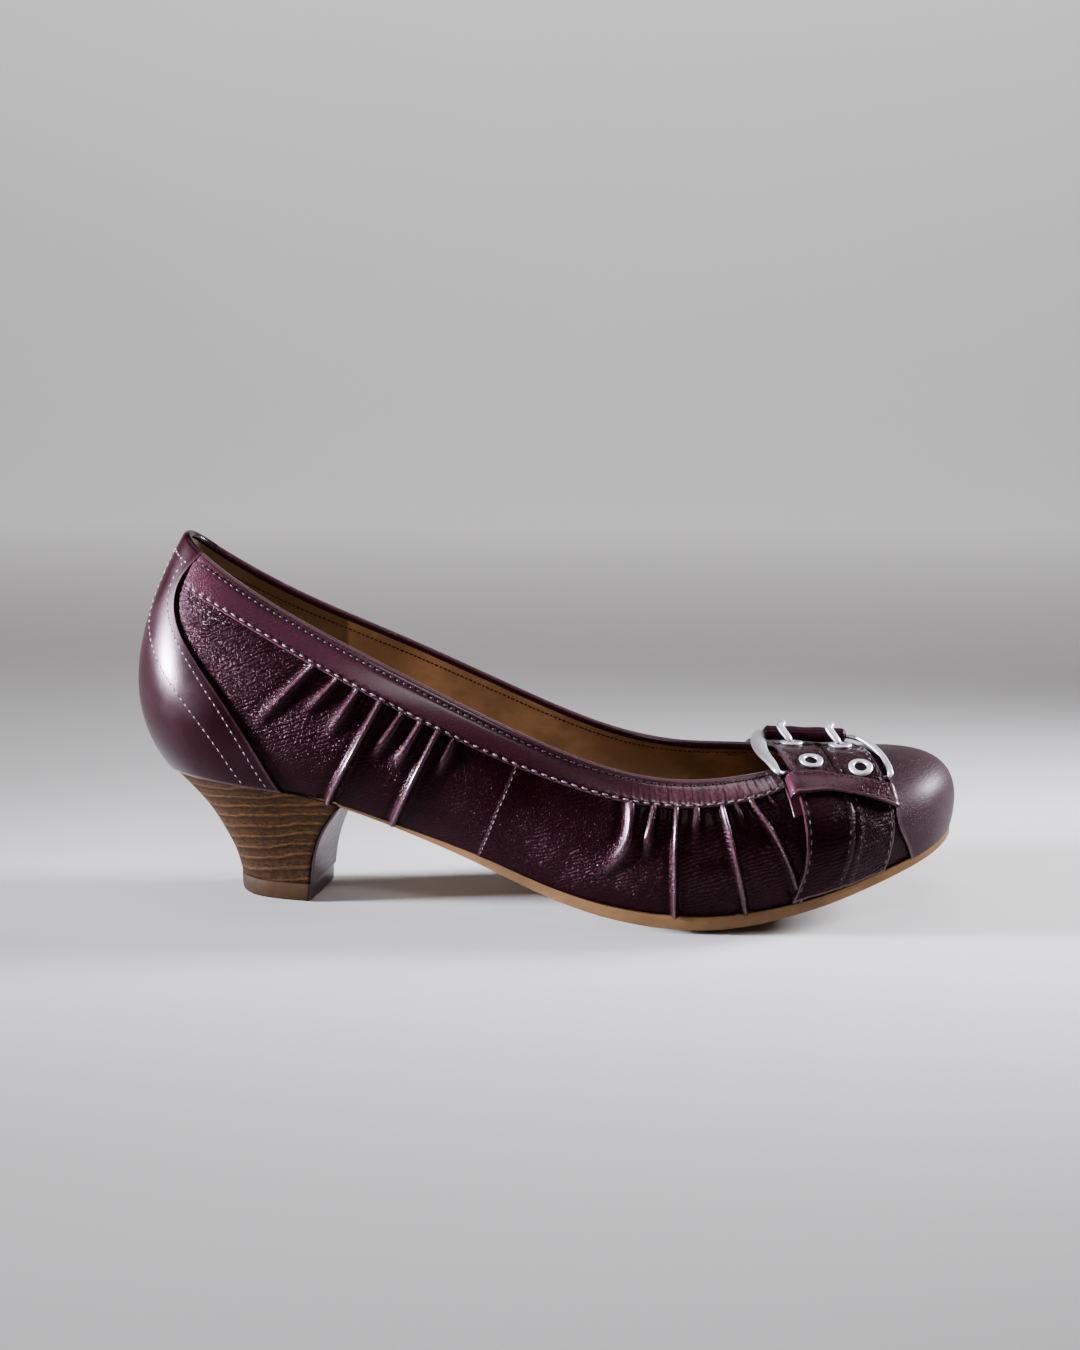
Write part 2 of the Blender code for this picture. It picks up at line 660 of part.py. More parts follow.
def strap_frame(a, fold):
    """Point on the strap's outer face with its directions across, along and out."""
    nudge = 0.03
    here = strap_point(a, fold)
    run = strap_point(a, fold + nudge) - strap_point(a, fold - nudge)
    across = strap_point(a + nudge, fold) - strap_point(a - nudge, fold)
    run /= np.linalg.norm(run)
    out = np.cross(across, run)
    out /= np.linalg.norm(out)
    return here + out * STRAP_THICKNESS / MM, np.cross(run, out), run, out


def make_strap():
    """Broad strap from the lateral foot over the vamp to the medial foot."""
    along = np.linspace(0.0, 1.0, 34)
    grid = np.stack([strap_line(a)[0](along) for a in np.linspace(0.0, 1.0, 9)])
    return add_skin("strap", grid, STRAP_THICKNESS, LEATHER)


def make_keeper():
    """Loop over the strap, with its ends tucked down beside it."""
    a = np.linspace(*KEEPER_SPAN, 17)
    share = np.linspace(*KEEPER_HEIGHTS, 4)
    over = (STRAP_THICKNESS + KEEPER_GAP) / MM
    a, share = np.meshgrid(a, share, indexing="ij")
    grid = strap_on_wall(a, share, "lateral", over)
    return add_skin("keeper", grid, KEEPER_THICKNESS, BAND_LEATHER)


def make_buckle_frame():
    """Closed frame; its near bar passes under the strap where the strap leaves the wall."""
    c = columns(FRAME_COLUMNS, FRAME)
    bar = columns(NEAR_BAR_COLUMNS, NEAR_BAR)
    near = overlay(bar["u"], bar["v"], "lateral", bar["lift"])
    path = np.concatenate([np.stack([c["x"], c["y"], c["z"]], -1), near])
    wide = np.concatenate([c["wide"], np.full(len(near), NEAR_BAR_SIZE[0])])
    high = np.concatenate([c["high"], np.full(len(near), NEAR_BAR_SIZE[1])])
    return add_sweep("buckle_frame", path, wide, high, PEWTER, loop=True)


def make_bar_sleeve():
    """Leather roll round the frame's far bar."""
    start, end = np.array(SLEEVE_ENDS)
    axis = (end - start) / np.linalg.norm(end - start)
    across = np.cross(axis, (0.0, 0.0, 1.0))
    across /= np.linalg.norm(across)
    up = np.cross(across, axis)
    sides = 14
    turn = 2 * pi * np.arange(sides) / sides
    spoke = np.cos(turn)[:, None] * across + np.sin(turn)[:, None] * up
    inner = (BAR_RADIUS + GAP) / MM
    outer = SLEEVE_RADIUS / MM
    loops = [end + spoke * inner, end + spoke * outer, start + spoke * outer, start + spoke * inner]
    grid = np.stack(loops)
    grid = np.concatenate([grid, grid[:, :1]], axis=1)
    return add_piece("bar_sleeve", grid.reshape(-1, 3), grid_faces(4, sides + 1, loop=True), BAND_LEATHER)


def make_prong(half):
    """Prong from its eyelet up over the roll, hooked down behind it."""
    start, _, _, out = strap_frame(HALVES[half], PRONG_EYELET_FOLD)
    first, last = np.array(SLEEVE_ENDS)
    axis = (last - first) / np.linalg.norm(last - first)
    foot = start + out * (PRONG_RADIUS + GAP) / MM
    middle = first + axis * (np.dot(foot - first, axis) - PRONG_SET_BACK)
    reach = (SLEEVE_RADIUS + PRONG_RADIUS + GAP) / MM
    up = np.array((0.0, 0.0, 1.0))
    side = np.cross(up, axis)
    path = [foot]
    for angle in PRONG_ANGLES:
        spoke = cos(radians(angle)) * side + sin(radians(angle)) * up
        path.append(middle + reach * spoke)
    path = natural(np.linspace(0, 1, len(path)), path)(np.linspace(0, 1, 15))
    size = np.full(len(path), 2 * PRONG_RADIUS / MM)
    return add_sweep("prong_" + half, path, size * PRONG_SECTION[0], size * PRONG_SECTION[1], PEWTER)


def make_eyelet(name, half, fold):
    """Rim of an eyelet on the strap's outer face."""
    centre, across, run, out = strap_frame(HALVES[half], fold)
    sides = 16
    turn = 2 * pi * np.arange(sides + 1) / sides
    spoke = np.cos(turn)[:, None] * across + np.sin(turn)[:, None] * run
    inner = EYELET_HOLE_RADIUS / MM
    outer = EYELET_RADIUS / MM
    seat = EYELET_SEAT / MM
    profile = (
        (inner, seat),
        (outer, seat),
        (outer, seat + EYELET_EDGES[0]),
        (0.5 * (inner + outer), seat + EYELET_RISE / MM),
        (inner, seat + EYELET_EDGES[1]),
    )
    grid = np.stack([centre + spoke * radius + out * rise for radius, rise in profile])
    return add_piece(name, grid.reshape(-1, 3), grid_faces(len(profile), sides + 1, loop=True), PEWTER)


def main():
    for piece in list(bpy.data.objects):
        bpy.data.objects.remove(piece)
    make_upper()
    make_outsole()
    make_insole()
    make_heel()
    make_heel_breast()
    make_top_lift()
    make_counter()
    make_toe_cap()
    make_collar_band("lateral", BAND_LATERAL)
    make_collar_band("medial", BAND_MEDIAL)
    make_strap()
    make_keeper()
    make_buckle_frame()
    make_bar_sleeve()
    for half in HALVES:
        make_prong(half)
        make_eyelet("eyelet_" + half, half, EYELET_FOLD)
        make_eyelet("eyelet_prong_" + half, half, PRONG_EYELET_FOLD)


main()
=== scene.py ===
"""Looks of a low heel pump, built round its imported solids.

The leather pieces follow the last's own surface: t is the turn round the shoe from the heel's back
along the outer side to the toe and back along the inner side, u the place along one side from the
heel's back (0) to the toe's tip (1), and v the height on the wall from the feather edge (0) to the
top (1). Tables are in millimetres of the sample, and real() puts them in the part's frame.
"""

from math import cos, pi, radians, sin

import bpy
import numpy as np
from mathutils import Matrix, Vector


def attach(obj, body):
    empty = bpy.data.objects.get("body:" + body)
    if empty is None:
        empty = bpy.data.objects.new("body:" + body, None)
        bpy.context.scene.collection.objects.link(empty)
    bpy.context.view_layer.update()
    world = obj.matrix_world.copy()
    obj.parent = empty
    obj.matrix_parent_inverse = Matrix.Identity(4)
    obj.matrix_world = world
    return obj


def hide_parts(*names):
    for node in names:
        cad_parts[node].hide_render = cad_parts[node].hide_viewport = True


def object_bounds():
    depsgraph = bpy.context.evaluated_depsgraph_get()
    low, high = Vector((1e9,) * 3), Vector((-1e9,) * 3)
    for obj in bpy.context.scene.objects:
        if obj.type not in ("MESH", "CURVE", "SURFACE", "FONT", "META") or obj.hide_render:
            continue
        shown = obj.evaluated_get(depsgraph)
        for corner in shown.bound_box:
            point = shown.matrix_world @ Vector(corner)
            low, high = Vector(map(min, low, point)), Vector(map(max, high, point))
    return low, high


bl_info = {
    "name": "Low heel pump",
    "version": (1, 0, 0),
    "blender": (4, 5, 0),
    "location": "3D View > Sidebar > Pump",
    "description": "Builds the leather, stitching, buckle and heel of a low heel pump",
    "category": "Object",
}

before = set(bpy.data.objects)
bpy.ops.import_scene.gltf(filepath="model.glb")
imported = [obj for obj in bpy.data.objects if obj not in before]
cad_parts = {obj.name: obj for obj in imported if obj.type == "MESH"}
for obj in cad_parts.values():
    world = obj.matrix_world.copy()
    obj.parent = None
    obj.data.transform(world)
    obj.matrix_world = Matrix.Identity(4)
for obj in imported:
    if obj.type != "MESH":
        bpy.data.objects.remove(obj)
CAD_LOW, CAD_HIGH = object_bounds()

# One millimetre of the tables in the part's frame, and where the frame's origin falls in them.
SAMPLE_LENGTH = 247.46
MM = (CAD_HIGH.x - CAD_LOW.x) / SAMPLE_LENGTH
MIDDLE = np.array((-0.905, 1.645, 0.0))

# Rings of the last: f is the feather edge, g the girth and t the top; x is the length, l and m the
# reach to the lateral and medial side, z the height.
LAST_COLUMNS = ("u", "fx", "fl", "fm", "gx", "gl", "gm", "gz", "tx", "tl", "tm", "tz")
LAST = (
    (0.00, -115.2, -4.0, 4.0, -123.2, -4.0, 4.0, 69.0, -108.6, -4.5, 4.5, 108.7),
    (0.05, -111.3, 7.5, 15.5, -118.6, 9.2, 17.2, 68.5, -106.3, 2.6, 10.6, 106.6),
    (0.11, -99.6, 18.6, 25.6, -105.4, 21.2, 28.7, 66.0, -97.6, 8.2, 14.7, 100.3),
    (0.20, -77.0, 24.5, 29.0, -80.0, 27.8, 32.8, 60.0, -77.0, 14.0, 19.5, 88.2),
    (0.31, -47.0, 25.5, 26.0, -47.0, 31.0, 32.0, 49.5, -46.0, 21.3, 25.3, 73.5),
    (0.43, -12.0, 28.5, 25.0, -11.0, 33.0, 31.5, 36.0, -10.0, 26.5, 28.0, 56.8),
    (0.54, 22.0, 33.5, 31.0, 20.0, 36.0, 34.5, 26.5, 18.0, 27.0, 27.7, 45.9),
    (0.64, 50.0, 34.5, 36.0, 46.0, 36.5, 38.0, 25.0, 42.0, 25.8, 26.0, 41.9),
    (0.72, 72.0, 31.5, 36.5, 68.0, 32.5, 36.5, 29.0, 61.5, 20.5, 20.0, 42.9),
    (0.76, 82.0, 28.5, 35.2, 77.5, 29.5, 35.0, 33.0, 69.3, 11.0, 13.0, 43.3),
    (0.79, 89.0, 25.5, 33.5, 84.5, 26.5, 33.2, 36.0, 73.0, -3.0, 3.0, 43.5),
    (0.87, 104.5, 17.6, 28.2, 100.0, 18.0, 28.0, 38.0, 86.0, -4.0, 4.0, 44.4),
    (0.94, 115.6, 7.4, 20.6, 112.0, 7.4, 20.0, 39.2, 97.0, -5.0, 5.0, 45.4),
    (1.00, 120.7, -8.0, 8.0, 119.0, -7.5, 7.5, 39.4, 103.0, -6.0, 6.0, 45.3),
)
# Place of the throat along a side, and how far behind and in front of it the girth changes over.
U_THROAT = 0.79
THROAT_BLEND = (0.03, 0.02)
# Highest place at which the wall's direction is taken, and the small step that it is taken over.
NORMAL_TOP = 0.985
NUDGE = 1e-4
# Thickness of the upper's wall; how far a leather rolled over its top stands off it, and over which
# part of the roll it sinks towards the lining.
WALL = 1.6
ROLL_LIFT = 0.15
ROLL_SINK = 0.75
ROLL_SINK_SPAN = (1.2, 1.8)
# Millimetres along the wall for a whole side, near the gathers.
SIDE_RUN = 280.0
# Gap between pieces that lie on each other, so that no two faces fall together.
JOIN_GAP = 0.1
# Edges bent by more than this are rounded.
SHARP_EDGE = radians(50)

# Height of the sole's edge and its thickness along the length.
SOLE_COLUMNS = ("x", "edge", "thickness")
SOLE = (
    (-125, 39.0, 0.8),
    (-112, 38.8, 0.8),
    (-100, 38.9, 0.8),
    (-87, 37.9, 0.8),
    (-77, 36.8, 0.8),
    (-67, 35.0, 0.8),
    (-56, 32.0, 0.9),
    (-40, 26.3, 1.2),
    (-20, 18.3, 2.4),
    (0, 9.8, 3.2),
    (15, 5.0, 3.6),
    (30, 2.3, 3.8),
    (45, 1.4, 3.9),
    (58, 2.4, 3.8),
    (72, 5.2, 3.4),
    (86, 8.8, 3.1),
    (100, 13.3, 2.8),
    (112, 17.6, 2.7),
    (124, 22.0, 2.6),
)
# Where the sole starts along a side; how far its edge stands out, and where it comes out; how far its
# underside is bowed, and between which lengths.
SOLE_START = 0.269
SOLE_EDGE_REACH = 0.9
SOLE_EDGE_SPAN = (0.42, 0.58)
SOLE_CROWN = 2.2
SOLE_CROWN_SPAN = (-30, 20, 85, 124)
# How far the insole lies inside the feather edge, and how far its own edge is turned up.
INSOLE_INSET = 1.0
INSOLE_RIM = 0.9

# Heel from the seat (drop 0) to the top lift (drop 1): back and front along the length, width as a
# share of the seat's, and turn about the upright.
HEEL_COLUMNS = ("drop", "back", "front", "width", "turn")
HEEL = (
    (0.00, -115.6, -59.2, 1.000, 0.0),
    (0.12, -111.8, -60.8, 0.860, -1.5),
    (0.25, -107.8, -62.9, 0.735, -3.0),
    (0.42, -103.3, -65.2, 0.610, -5.0),
    (0.60, -99.7, -67.0, 0.515, -6.5),
    (0.80, -96.3, -68.2, 0.455, -8.0),
    (1.00, -94.4, -68.8, 0.430, -8.6),
)
U_BREAST = 0.272
SEAT_REACH = 0.4
LIFT_HEIGHT = 5.5
# Heights of the top lift's sections, and their spread against the heel's lowest one.
LIFT_RINGS = ((LIFT_HEIGHT, 1.012), (0.9, 1.0), (0.0, 0.965))
# Part of the heel's front face that its cover takes up, down it and across it.
BREAST_SPAN = (0.05, 0.99)
BREAST_WIDTH = (0.015, 0.985)
BREAST_THICKNESS = 0.8

# Front edge of the counter, and the second row of stitches behind it: u at each height.
COUNTER_COLUMNS = ("v", "edge", "row")
COUNTER = (
    (0.0, 0.204, 0.164),
    (0.3, 0.188, 0.144),
    (0.5, 0.162, 0.104),
    (0.65, 0.126, 0.054),
    (0.78, 0.085, 0.018),
    (0.88, 0.071, 0.012),
    (1.0, 0.084, 0.014),
)
# Rear edge of the toe cap on each side.
TOE_CAP_COLUMNS = ("v", "lateral", "medial")
TOE_CAP = (
    (0.0, 0.884, 0.812),
    (0.12, 0.874, 0.818),
    (0.28, 0.864, 0.824),
    (0.45, 0.872, 0.830),
    (0.62, 0.886, 0.846),
    (0.8, 0.908, 0.878),
    (1.0, 0.928, 0.928),
)
# Lower edge of the collar band: height along the side.
BAND_COLUMNS = ("u", "v")
BAND = (
    (0.08, 0.885),
    (0.16, 0.88),
    (0.23, 0.856),
    (0.30, 0.83),
    (0.42, 0.808),
    (0.55, 0.818),
    (0.74, 0.815),
    (0.80, 0.83),
)
BAND_SPAN = {"lateral": (0.080, 0.747), "medial": (0.080, 0.745)}
# Rows of stitches along a band: height on it, reach of the dent that they draw, and its depth.
BAND_ROWS = {"low": (0.10, 0.05), "top": (0.86, 0.06)}
BAND_DENT = 0.16
# Puckers along a band's lower edge: height and run of one.
BAND_PUCKER = 0.10
PUCKER_RUN = 3.1

# Strap: rear and front edge on each wall, where it leaves the wall, and how far it stands off it.
STRAP_COLUMNS = ("v", "rear", "front")
STRAP = {
    "lateral": (
        (0.0, 0.714, 0.832),
        (0.1, 0.730, 0.842),
        (0.28, 0.741, 0.854),
        (0.5, 0.750, 0.865),
        (0.7, 0.754, 0.872),
        (1.0, 0.758, 0.878),
    ),
    "medial": (
        (0.0, 0.690, 0.800),
        (0.3, 0.695, 0.812),
        (0.6, 0.700, 0.822),
        (1.0, 0.705, 0.830),
    ),
}
STRAP_FOOT = 0.03
LEAVE_COLUMNS = ("across", "lateral", "medial")
LEAVE = ((0.0, 0.88, 0.80), (0.5, 0.725, 0.74), (1.0, 0.575, 0.64))
STAND_OFF_COLUMNS = ("share", "lateral", "medial")
STAND_OFF = ((0.0, 0.4, 0.4), (0.55, 0.7, 0.6), (0.8, 0.9, 0.7), (1.0, 2.0, 1.0))
CREST = ((67.4, -2.0, 47.2), (94.4, -4.0, 46.6))
DIP = ((65.6, 6.4, 45.8), (92.2, 4.6, 46.0))
SHOULDER = ((63.5, 15.0, 44.6), (89.6, 13.0, 45.0))
STRAP_THICKNESS = 1.4
STRAP_WIDTH = 30.0
# Shares up each wall through which the strap's curve runs.
STRAP_SHARES = np.array((0.0, 0.3, 0.6, 0.85, 1.0))
# Parts of the strap's length in which the seam between its halves opens, and over which a sheen is painted on
# its crest.
OPEN_SEAM = (0.26, 0.34, 0.5, 0.58)
SHEEN_ON_CREST = (0.27, 0.36, 0.48, 0.58)
KEEPER_SPAN = (-0.035, 1.035)
# Lower and upper edge of the keeper, as shares up the strap's lateral wall.
KEEPER_COLUMNS = ("across", "low", "top")
KEEPER = ((0.0, 0.775, 0.943), (0.3, 0.724, 0.885), (0.6, 0.725, 0.905), (1.0, 0.668, 0.917))
KEEPER_LIFT = STRAP_THICKNESS + 0.45
# Narrow strip that runs down from the keeper behind the strap's rear edge.
TAIL_SPAN = (0.57, 0.86)
TAIL_REACH = (-0.011, 0.010)
TAIL_LIFT = 0.15
TAIL_THICKNESS = 0.8

# Buckle frame: its places, with the width and height of its section there.
FRAME_COLUMNS = ("x", "y", "z", "wide", "high")
FRAME = (
    (68.2, -21.2, 44.6, 1.8, 1.4),
    (66.4, -15.5, 45.9, 2.9, 1.8),
    (64.3, -8.0, 47.0, 4.0, 2.2),
    (63.2, 0.0, 48.6, 4.6, 2.5),
    (63.8, 5.6, 49.9, 3.6, 2.4),
    (66.6, 6.2, 50.1, 1.8, 1.8),
    (77.0, 5.2, 50.1, 1.8, 1.8),
    (87.6, 4.2, 50.0, 1.8, 1.8),
    (91.0, 3.7, 49.9, 1.8, 1.9),
    (94.2, 0.6, 49.4, 1.9, 1.8),
    (97.6, -5.0, 47.9, 2.0, 1.7),
    (99.8, -11.0, 45.7, 1.9, 1.5),
    (100.4, -16.6, 43.4, 1.8, 1.4),
)
NEAR_BAR_COLUMNS = ("u", "v", "lift")
NEAR_BAR = ((0.871, 0.64, 0.9), (0.832, 0.725, 0.85), (0.795, 0.82, 0.85), (0.764, 0.91, 0.9))
NEAR_BAR_SIZE = (1.3, 0.8)
SLEEVE_ENDS = ((64.8, 6.3, 50.1), (89.6, 4.0, 50.0))
SLEEVE_RADIUS = 2.2
PRONG_RADIUS = 1.0
PRONG_ANGLES = (140, 110, 85, 60, 30, 0, -25)
PRONG_SET_BACK = 3.2
# Reach across and along the strap of the patch whose shape an eyelet follows.
EYELET_PATCH = 6.5
EYELET_RUN = 0.09
# Rim of an eyelet: middle radius and half width of its section, middle height and half height.
RIM_RADIUS, RIM_HALF_WIDTH = 2.65, 0.85
RIM_RISE, RIM_HALF_HEIGHT = 0.40, 0.55
# Dark plug inside the rim, painted as the shade in the hole: radius and height of each ring.
HOLE_RINGS = np.array(((0.0, 0.30), (0.9, 0.30), (1.8, 0.30), (2.2, 0.20), (2.2, -0.6), (0.0, -0.6)))
# Place across and along the strap of the eyelets, and of those that the prongs go through.
EYELETS = {"rear": (0.262, 4.10), "front": (0.79, 4.20)}
PRONG_EYELETS = {"rear": (0.22, 5.2), "front": (0.75, 5.2)}

# Gathers of a side: points down the fold, half width, height, and the span of v in which it fades.
PLEATS = (
    (((0.242, 0.83), (0.198, 0.48)), 1.25, 1.15, 0.16),
    (((0.268, 0.83), (0.244, 0.62)), 1.05, 1.10, 0.12),
    (((0.288, 0.81), (0.266, 0.54)), 1.15, 1.30, 0.14),
    (((0.310, 0.80), (0.288, 0.46), (0.256, 0.0)), 1.02, 1.55, 0.0),
    (((0.326, 0.73), (0.310, 0.52)), 1.10, 1.15, 0.14),
    (((0.348, 0.78), (0.330, 0.50)), 1.10, 1.35, 0.12),
    (((0.366, 0.80), (0.348, 0.47), (0.324, 0.0)), 1.02, 1.55, 0.0),
    (((0.380, 0.78), (0.370, 0.57)), 0.95, 1.10, 0.12),
    (((0.570, 0.80), (0.562, 0.56), (0.536, 0.30)), 1.60, 1.40, 0.20),
    (((0.596, 0.80), (0.582, 0.50)), 1.35, 1.35, 0.18),
    (((0.622, 0.80), (0.610, 0.41), (0.600, 0.0)), 1.02, 1.60, 0.0),
    (((0.644, 0.80), (0.636, 0.58)), 1.20, 1.20, 0.16),
    (((0.672, 0.80), (0.672, 0.48), (0.672, 0.0)), 1.02, 1.55, 0.0),
    (((0.686, 0.80), (0.688, 0.65)), 1.00, 1.00, 0.12),
    (((0.704, 0.79), (0.714, 0.55), (0.730, 0.0)), 1.02, 1.50, 0.0),
    (((0.724, 0.79), (0.730, 0.69)), 0.75, 0.85, 0.08),
)
# Line of the side seam down the wall, and the height of its ledge with the millimetres it spans.
SIDE_SEAM = ((0.410, 0.0), (0.426, 0.45), (0.442, 0.80))
SEAM_LEDGE = 0.22
SEAM_LEDGE_SPAN = (-0.45, 0.1, 0.1, 7.0)
# Seams of the lining along a side with their ledges, and the steps in which points stand across one.
LINING_SEAMS = (0.253, 0.605)
LINING_LEDGE = 0.30
LINING_LEDGE_SPAN = (-0.3, 0.1, 0.1, 9.0)
LINING_STEPS = np.array((-0.6, -0.3, -0.1, 0.1, 0.4, 1.2))
LINING_GAP = 0.05
# Height of the band's lower edge at the folds, and the place ahead of which no fold bends the leather.
BAND_EDGE = 0.80
FOLDS_END = 0.80
FOLD_LINES = [fold[0] for fold in PLEATS] + [SIDE_SEAM]
# Section of a fold in half widths: reach and power of the ridge; place, reach and depth of the trough
# before and behind it; place, reach and power of its worn line, which carries a painted highlight.
RIDGE = (0.92, 2.2)
TROUGH_BEFORE = (1.75, 0.60, 0.55)
TROUGH_BEHIND = (1.95, 0.85, 0.28)
WORN_AND_LIT_LINE = (0.15, 0.6, 2.5)
# Deepest trough beside a fold, and the steps in which the leather's points stand across one.
TROUGH = 0.45
FOLD_STEPS = np.array((
    -3.0, -2.3, -1.7, -1.35, -1.1, -0.85, -0.55, -0.25, 0.0, 0.25, 0.55, 0.85, 1.1, 1.35, 1.7, 2.3, 3.0))
CLOSEST_STEP = 0.22
# Spans along a side with the count of points in each, before the folds add theirs.
UPPER_SPANS = ((0.0, 0.19, 34), (0.19, 0.405, 60), (0.405, 0.54, 50), (0.54, 0.75, 60), (0.75, 1.0, 44))
# Where the leather is wrinkled: u, v, reach in u and v, strength.
WRINKLES = (
    (0.150, 0.72, 0.075, 0.16, 0.95),
    (0.235, 0.50, 0.075, 0.16, 0.85),
    (0.330, 0.50, 0.090, 0.22, 0.55),
    (0.525, 0.28, 0.110, 0.26, 1.00),
    (0.640, 0.38, 0.095, 0.34, 1.00),
    (0.715, 0.45, 0.045, 0.34, 0.90),
)

# Leather grain: depth of its pores, ripples and cracks, the level that the last two reach together,
# how far the ripples wander and how they lean.
PORE_DEPTH = 0.07
RIPPLE_DEPTH = 0.32
CRACK_DEPTH = 0.17
CREASE_TOP = RIPPLE_DEPTH + CRACK_DEPTH
RIPPLE_WANDER = (0.0018, 0.0018, 0.0018)
RIPPLE_LEAN = radians(16.0)
PLUM_SHEEN = (1.0, 0.36, 0.54, 1.0)
# Painted shade: the near-black plum mixed in where the leather lies in shade, in hollows and gaps.
PLUM_PAINTED_SHADE = (0.010, 0.002, 0.004, 1.0)
# Near-black tones of the painted shade inside eyelet holes and needle holes.
HOLE_SHADE_TONES = ((0.003, 0.001, 0.0015, 1.0), (0.010, 0.004, 0.005, 1.0))
# Plum leathers: colour, roughness, how wrinkled, scale of the pores, weight and roughness of the coat,
# relief and specular level.
LEATHERS = {
    "gathered plum leather": ("plum", 0.24, 0.12, 1500.0, 0.03, 0.18, 1.0, 0.085),
    "smooth plum leather": ("plum", 0.25, 0.0, 1500.0, 0.13, 0.22, 0.14, 0.085),
    "band leather": ("band", 0.30, 0.05, 1500.0, 0.08, 0.18, 0.8, 0.085),
    "toe leather": ("toe", 0.42, 0.13, 1900.0, 0.12, 0.34, 1.0, 0.085),
    "strap leather": ("plum", 0.33, 0.58, 1500.0, 0.03, 0.18, 1.0, 0.065),
}

# Stitches: pitch of a row, and its stitches' length and thickness against the sizes' own.
STITCHES = {
    "band_low": (3.0, 0.78, 1.0),
    "band_top": (2.2, 0.6, 1.0),
    "lining": (2.9, 0.8, 1.0),
    "counter": (2.3, 0.60, 0.9),
    "counter_top": (2.2, 0.6, 0.9),
    "quarter": (2.6, 0.55, 0.8),
    "side": (1.9, 0.6, 0.40),
    "throat": (2.6, 0.7, 1.0),
    "strap": (2.8, 0.72, 0.95),
    "keeper": (2.7, 0.7, 0.95),
}
# Places of the rows across the strap, and up the keeper.
STRAP_ROWS = {"rear": 0.045, "mid_rear": 0.443, "mid_front": 0.557, "front": 0.955}
KEEPER_ROWS = {"low": 0.24, "top": 0.86}
# How uneven a stitch is in length and in turn, each with its rhythm along the row.
LENGTH_DRIFT = (0.10, 12.9)
TURN_DRIFT = (0.07, 7.3)
# Size of the dark disc painted as the shade of a needle hole, in the thread's radius, and how far it stands
# out of the leather's face.
PIT_SIZE = np.array((1.7, 1.35, 1.5))
PIT_RISE = 0.05
# How far the counter's thread is drawn into it.
THREAD_SINK = 0.06

# Floor paper: front end, start of its bend, run and rise of the bend, half width, and drop below the sole.
FLOOR_FRONT = -2500
FLOOR_FLAT = 900
FLOOR_BEND = 1000
BACKDROP_RUN = 500
BACKDROP_RISE = 1500
FLOOR_HALF_WIDTH = 3500
FLOOR_DROP = 0.05
WORLD_COLOUR = (0.80, 0.80, 0.86, 1.0)
WORLD_STRENGTH = 0.05
SENSOR_WIDTH = 36.0
CLIP_START = 0.01
# Lights: place and aim in metres from the camera's target, size, power, spread in degrees and tint.
LIGHTS = {
    "left window": (
        (-0.78, -0.10, 0.16), (0.0, 0.0, 0.075), (0.15, 0.20), 3.4, 24.0, (0.84, 0.88, 1.0)),
    "right window": (
        (0.72, 0.22, 0.28), (0.05, 0.0, 0.0), (0.18, 0.18), 2.0, 50.0, (0.93, 0.94, 1.0)),
    "overhead": (
        (0.0, 0.12, 0.95), (0.0, 0.05, 0.0), (0.9, 0.6), 3.4, 150.0, (1.0, 0.98, 0.98)),
    "backdrop light": (
        (0.0, 0.95, 1.15), (0.0, 1.45, 0.30), (2.4, 0.3), 14.0, 120.0, (1.0, 0.99, 0.99)),
    "front fill": (
        (0.05, -0.80, 0.85), (0.0, 0.0, 0.0), (0.34, 0.16), 1.2, 120.0, (1.0, 0.97, 0.98)),
}


def millimetres(name, description, value):
    """Length property of the pump."""
    return bpy.props.FloatProperty(
        name=name, description=description, default=value * MM, unit="LENGTH", precision=5)


class PumpSizes(bpy.types.PropertyGroup):
    leather: millimetres("Leather", "Thickness of the upper's outer leather", 0.9)
    counter: millimetres("Counter", "Thickness of the counter", 0.9)
    toe_cap: millimetres("Toe cap", "Thickness of the toe cap", 0.8)
    band: millimetres("Band", "Thickness of the collar band", 0.8)
    keeper: millimetres("Keeper", "Thickness of the keeper", 1.3)
    insole: millimetres("Insole", "Thickness of the insole", 1.8)
    edge: millimetres("Edge", "Rounding of cut leather edges", 0.32)
    gather: bpy.props.FloatProperty(
        name="Gather", description="Height of the gathers against the photographed ones",
        default=1.0, subtype="FACTOR", min=0.0, max=1.5)
    stitch: millimetres("Stitch", "Length of one stitch", 2.5)
    thread: millimetres("Thread", "Radius of the thread", 0.26)
    layer: millimetres("Layer", "Height of one layer of the stacked heel", 3.6)


def colour(name, description, default):
    """Colour property of the pump."""
    return bpy.props.FloatVectorProperty(
        name=name, description=description, default=default, size=4, subtype="COLOR", min=0.0, max=1.0)


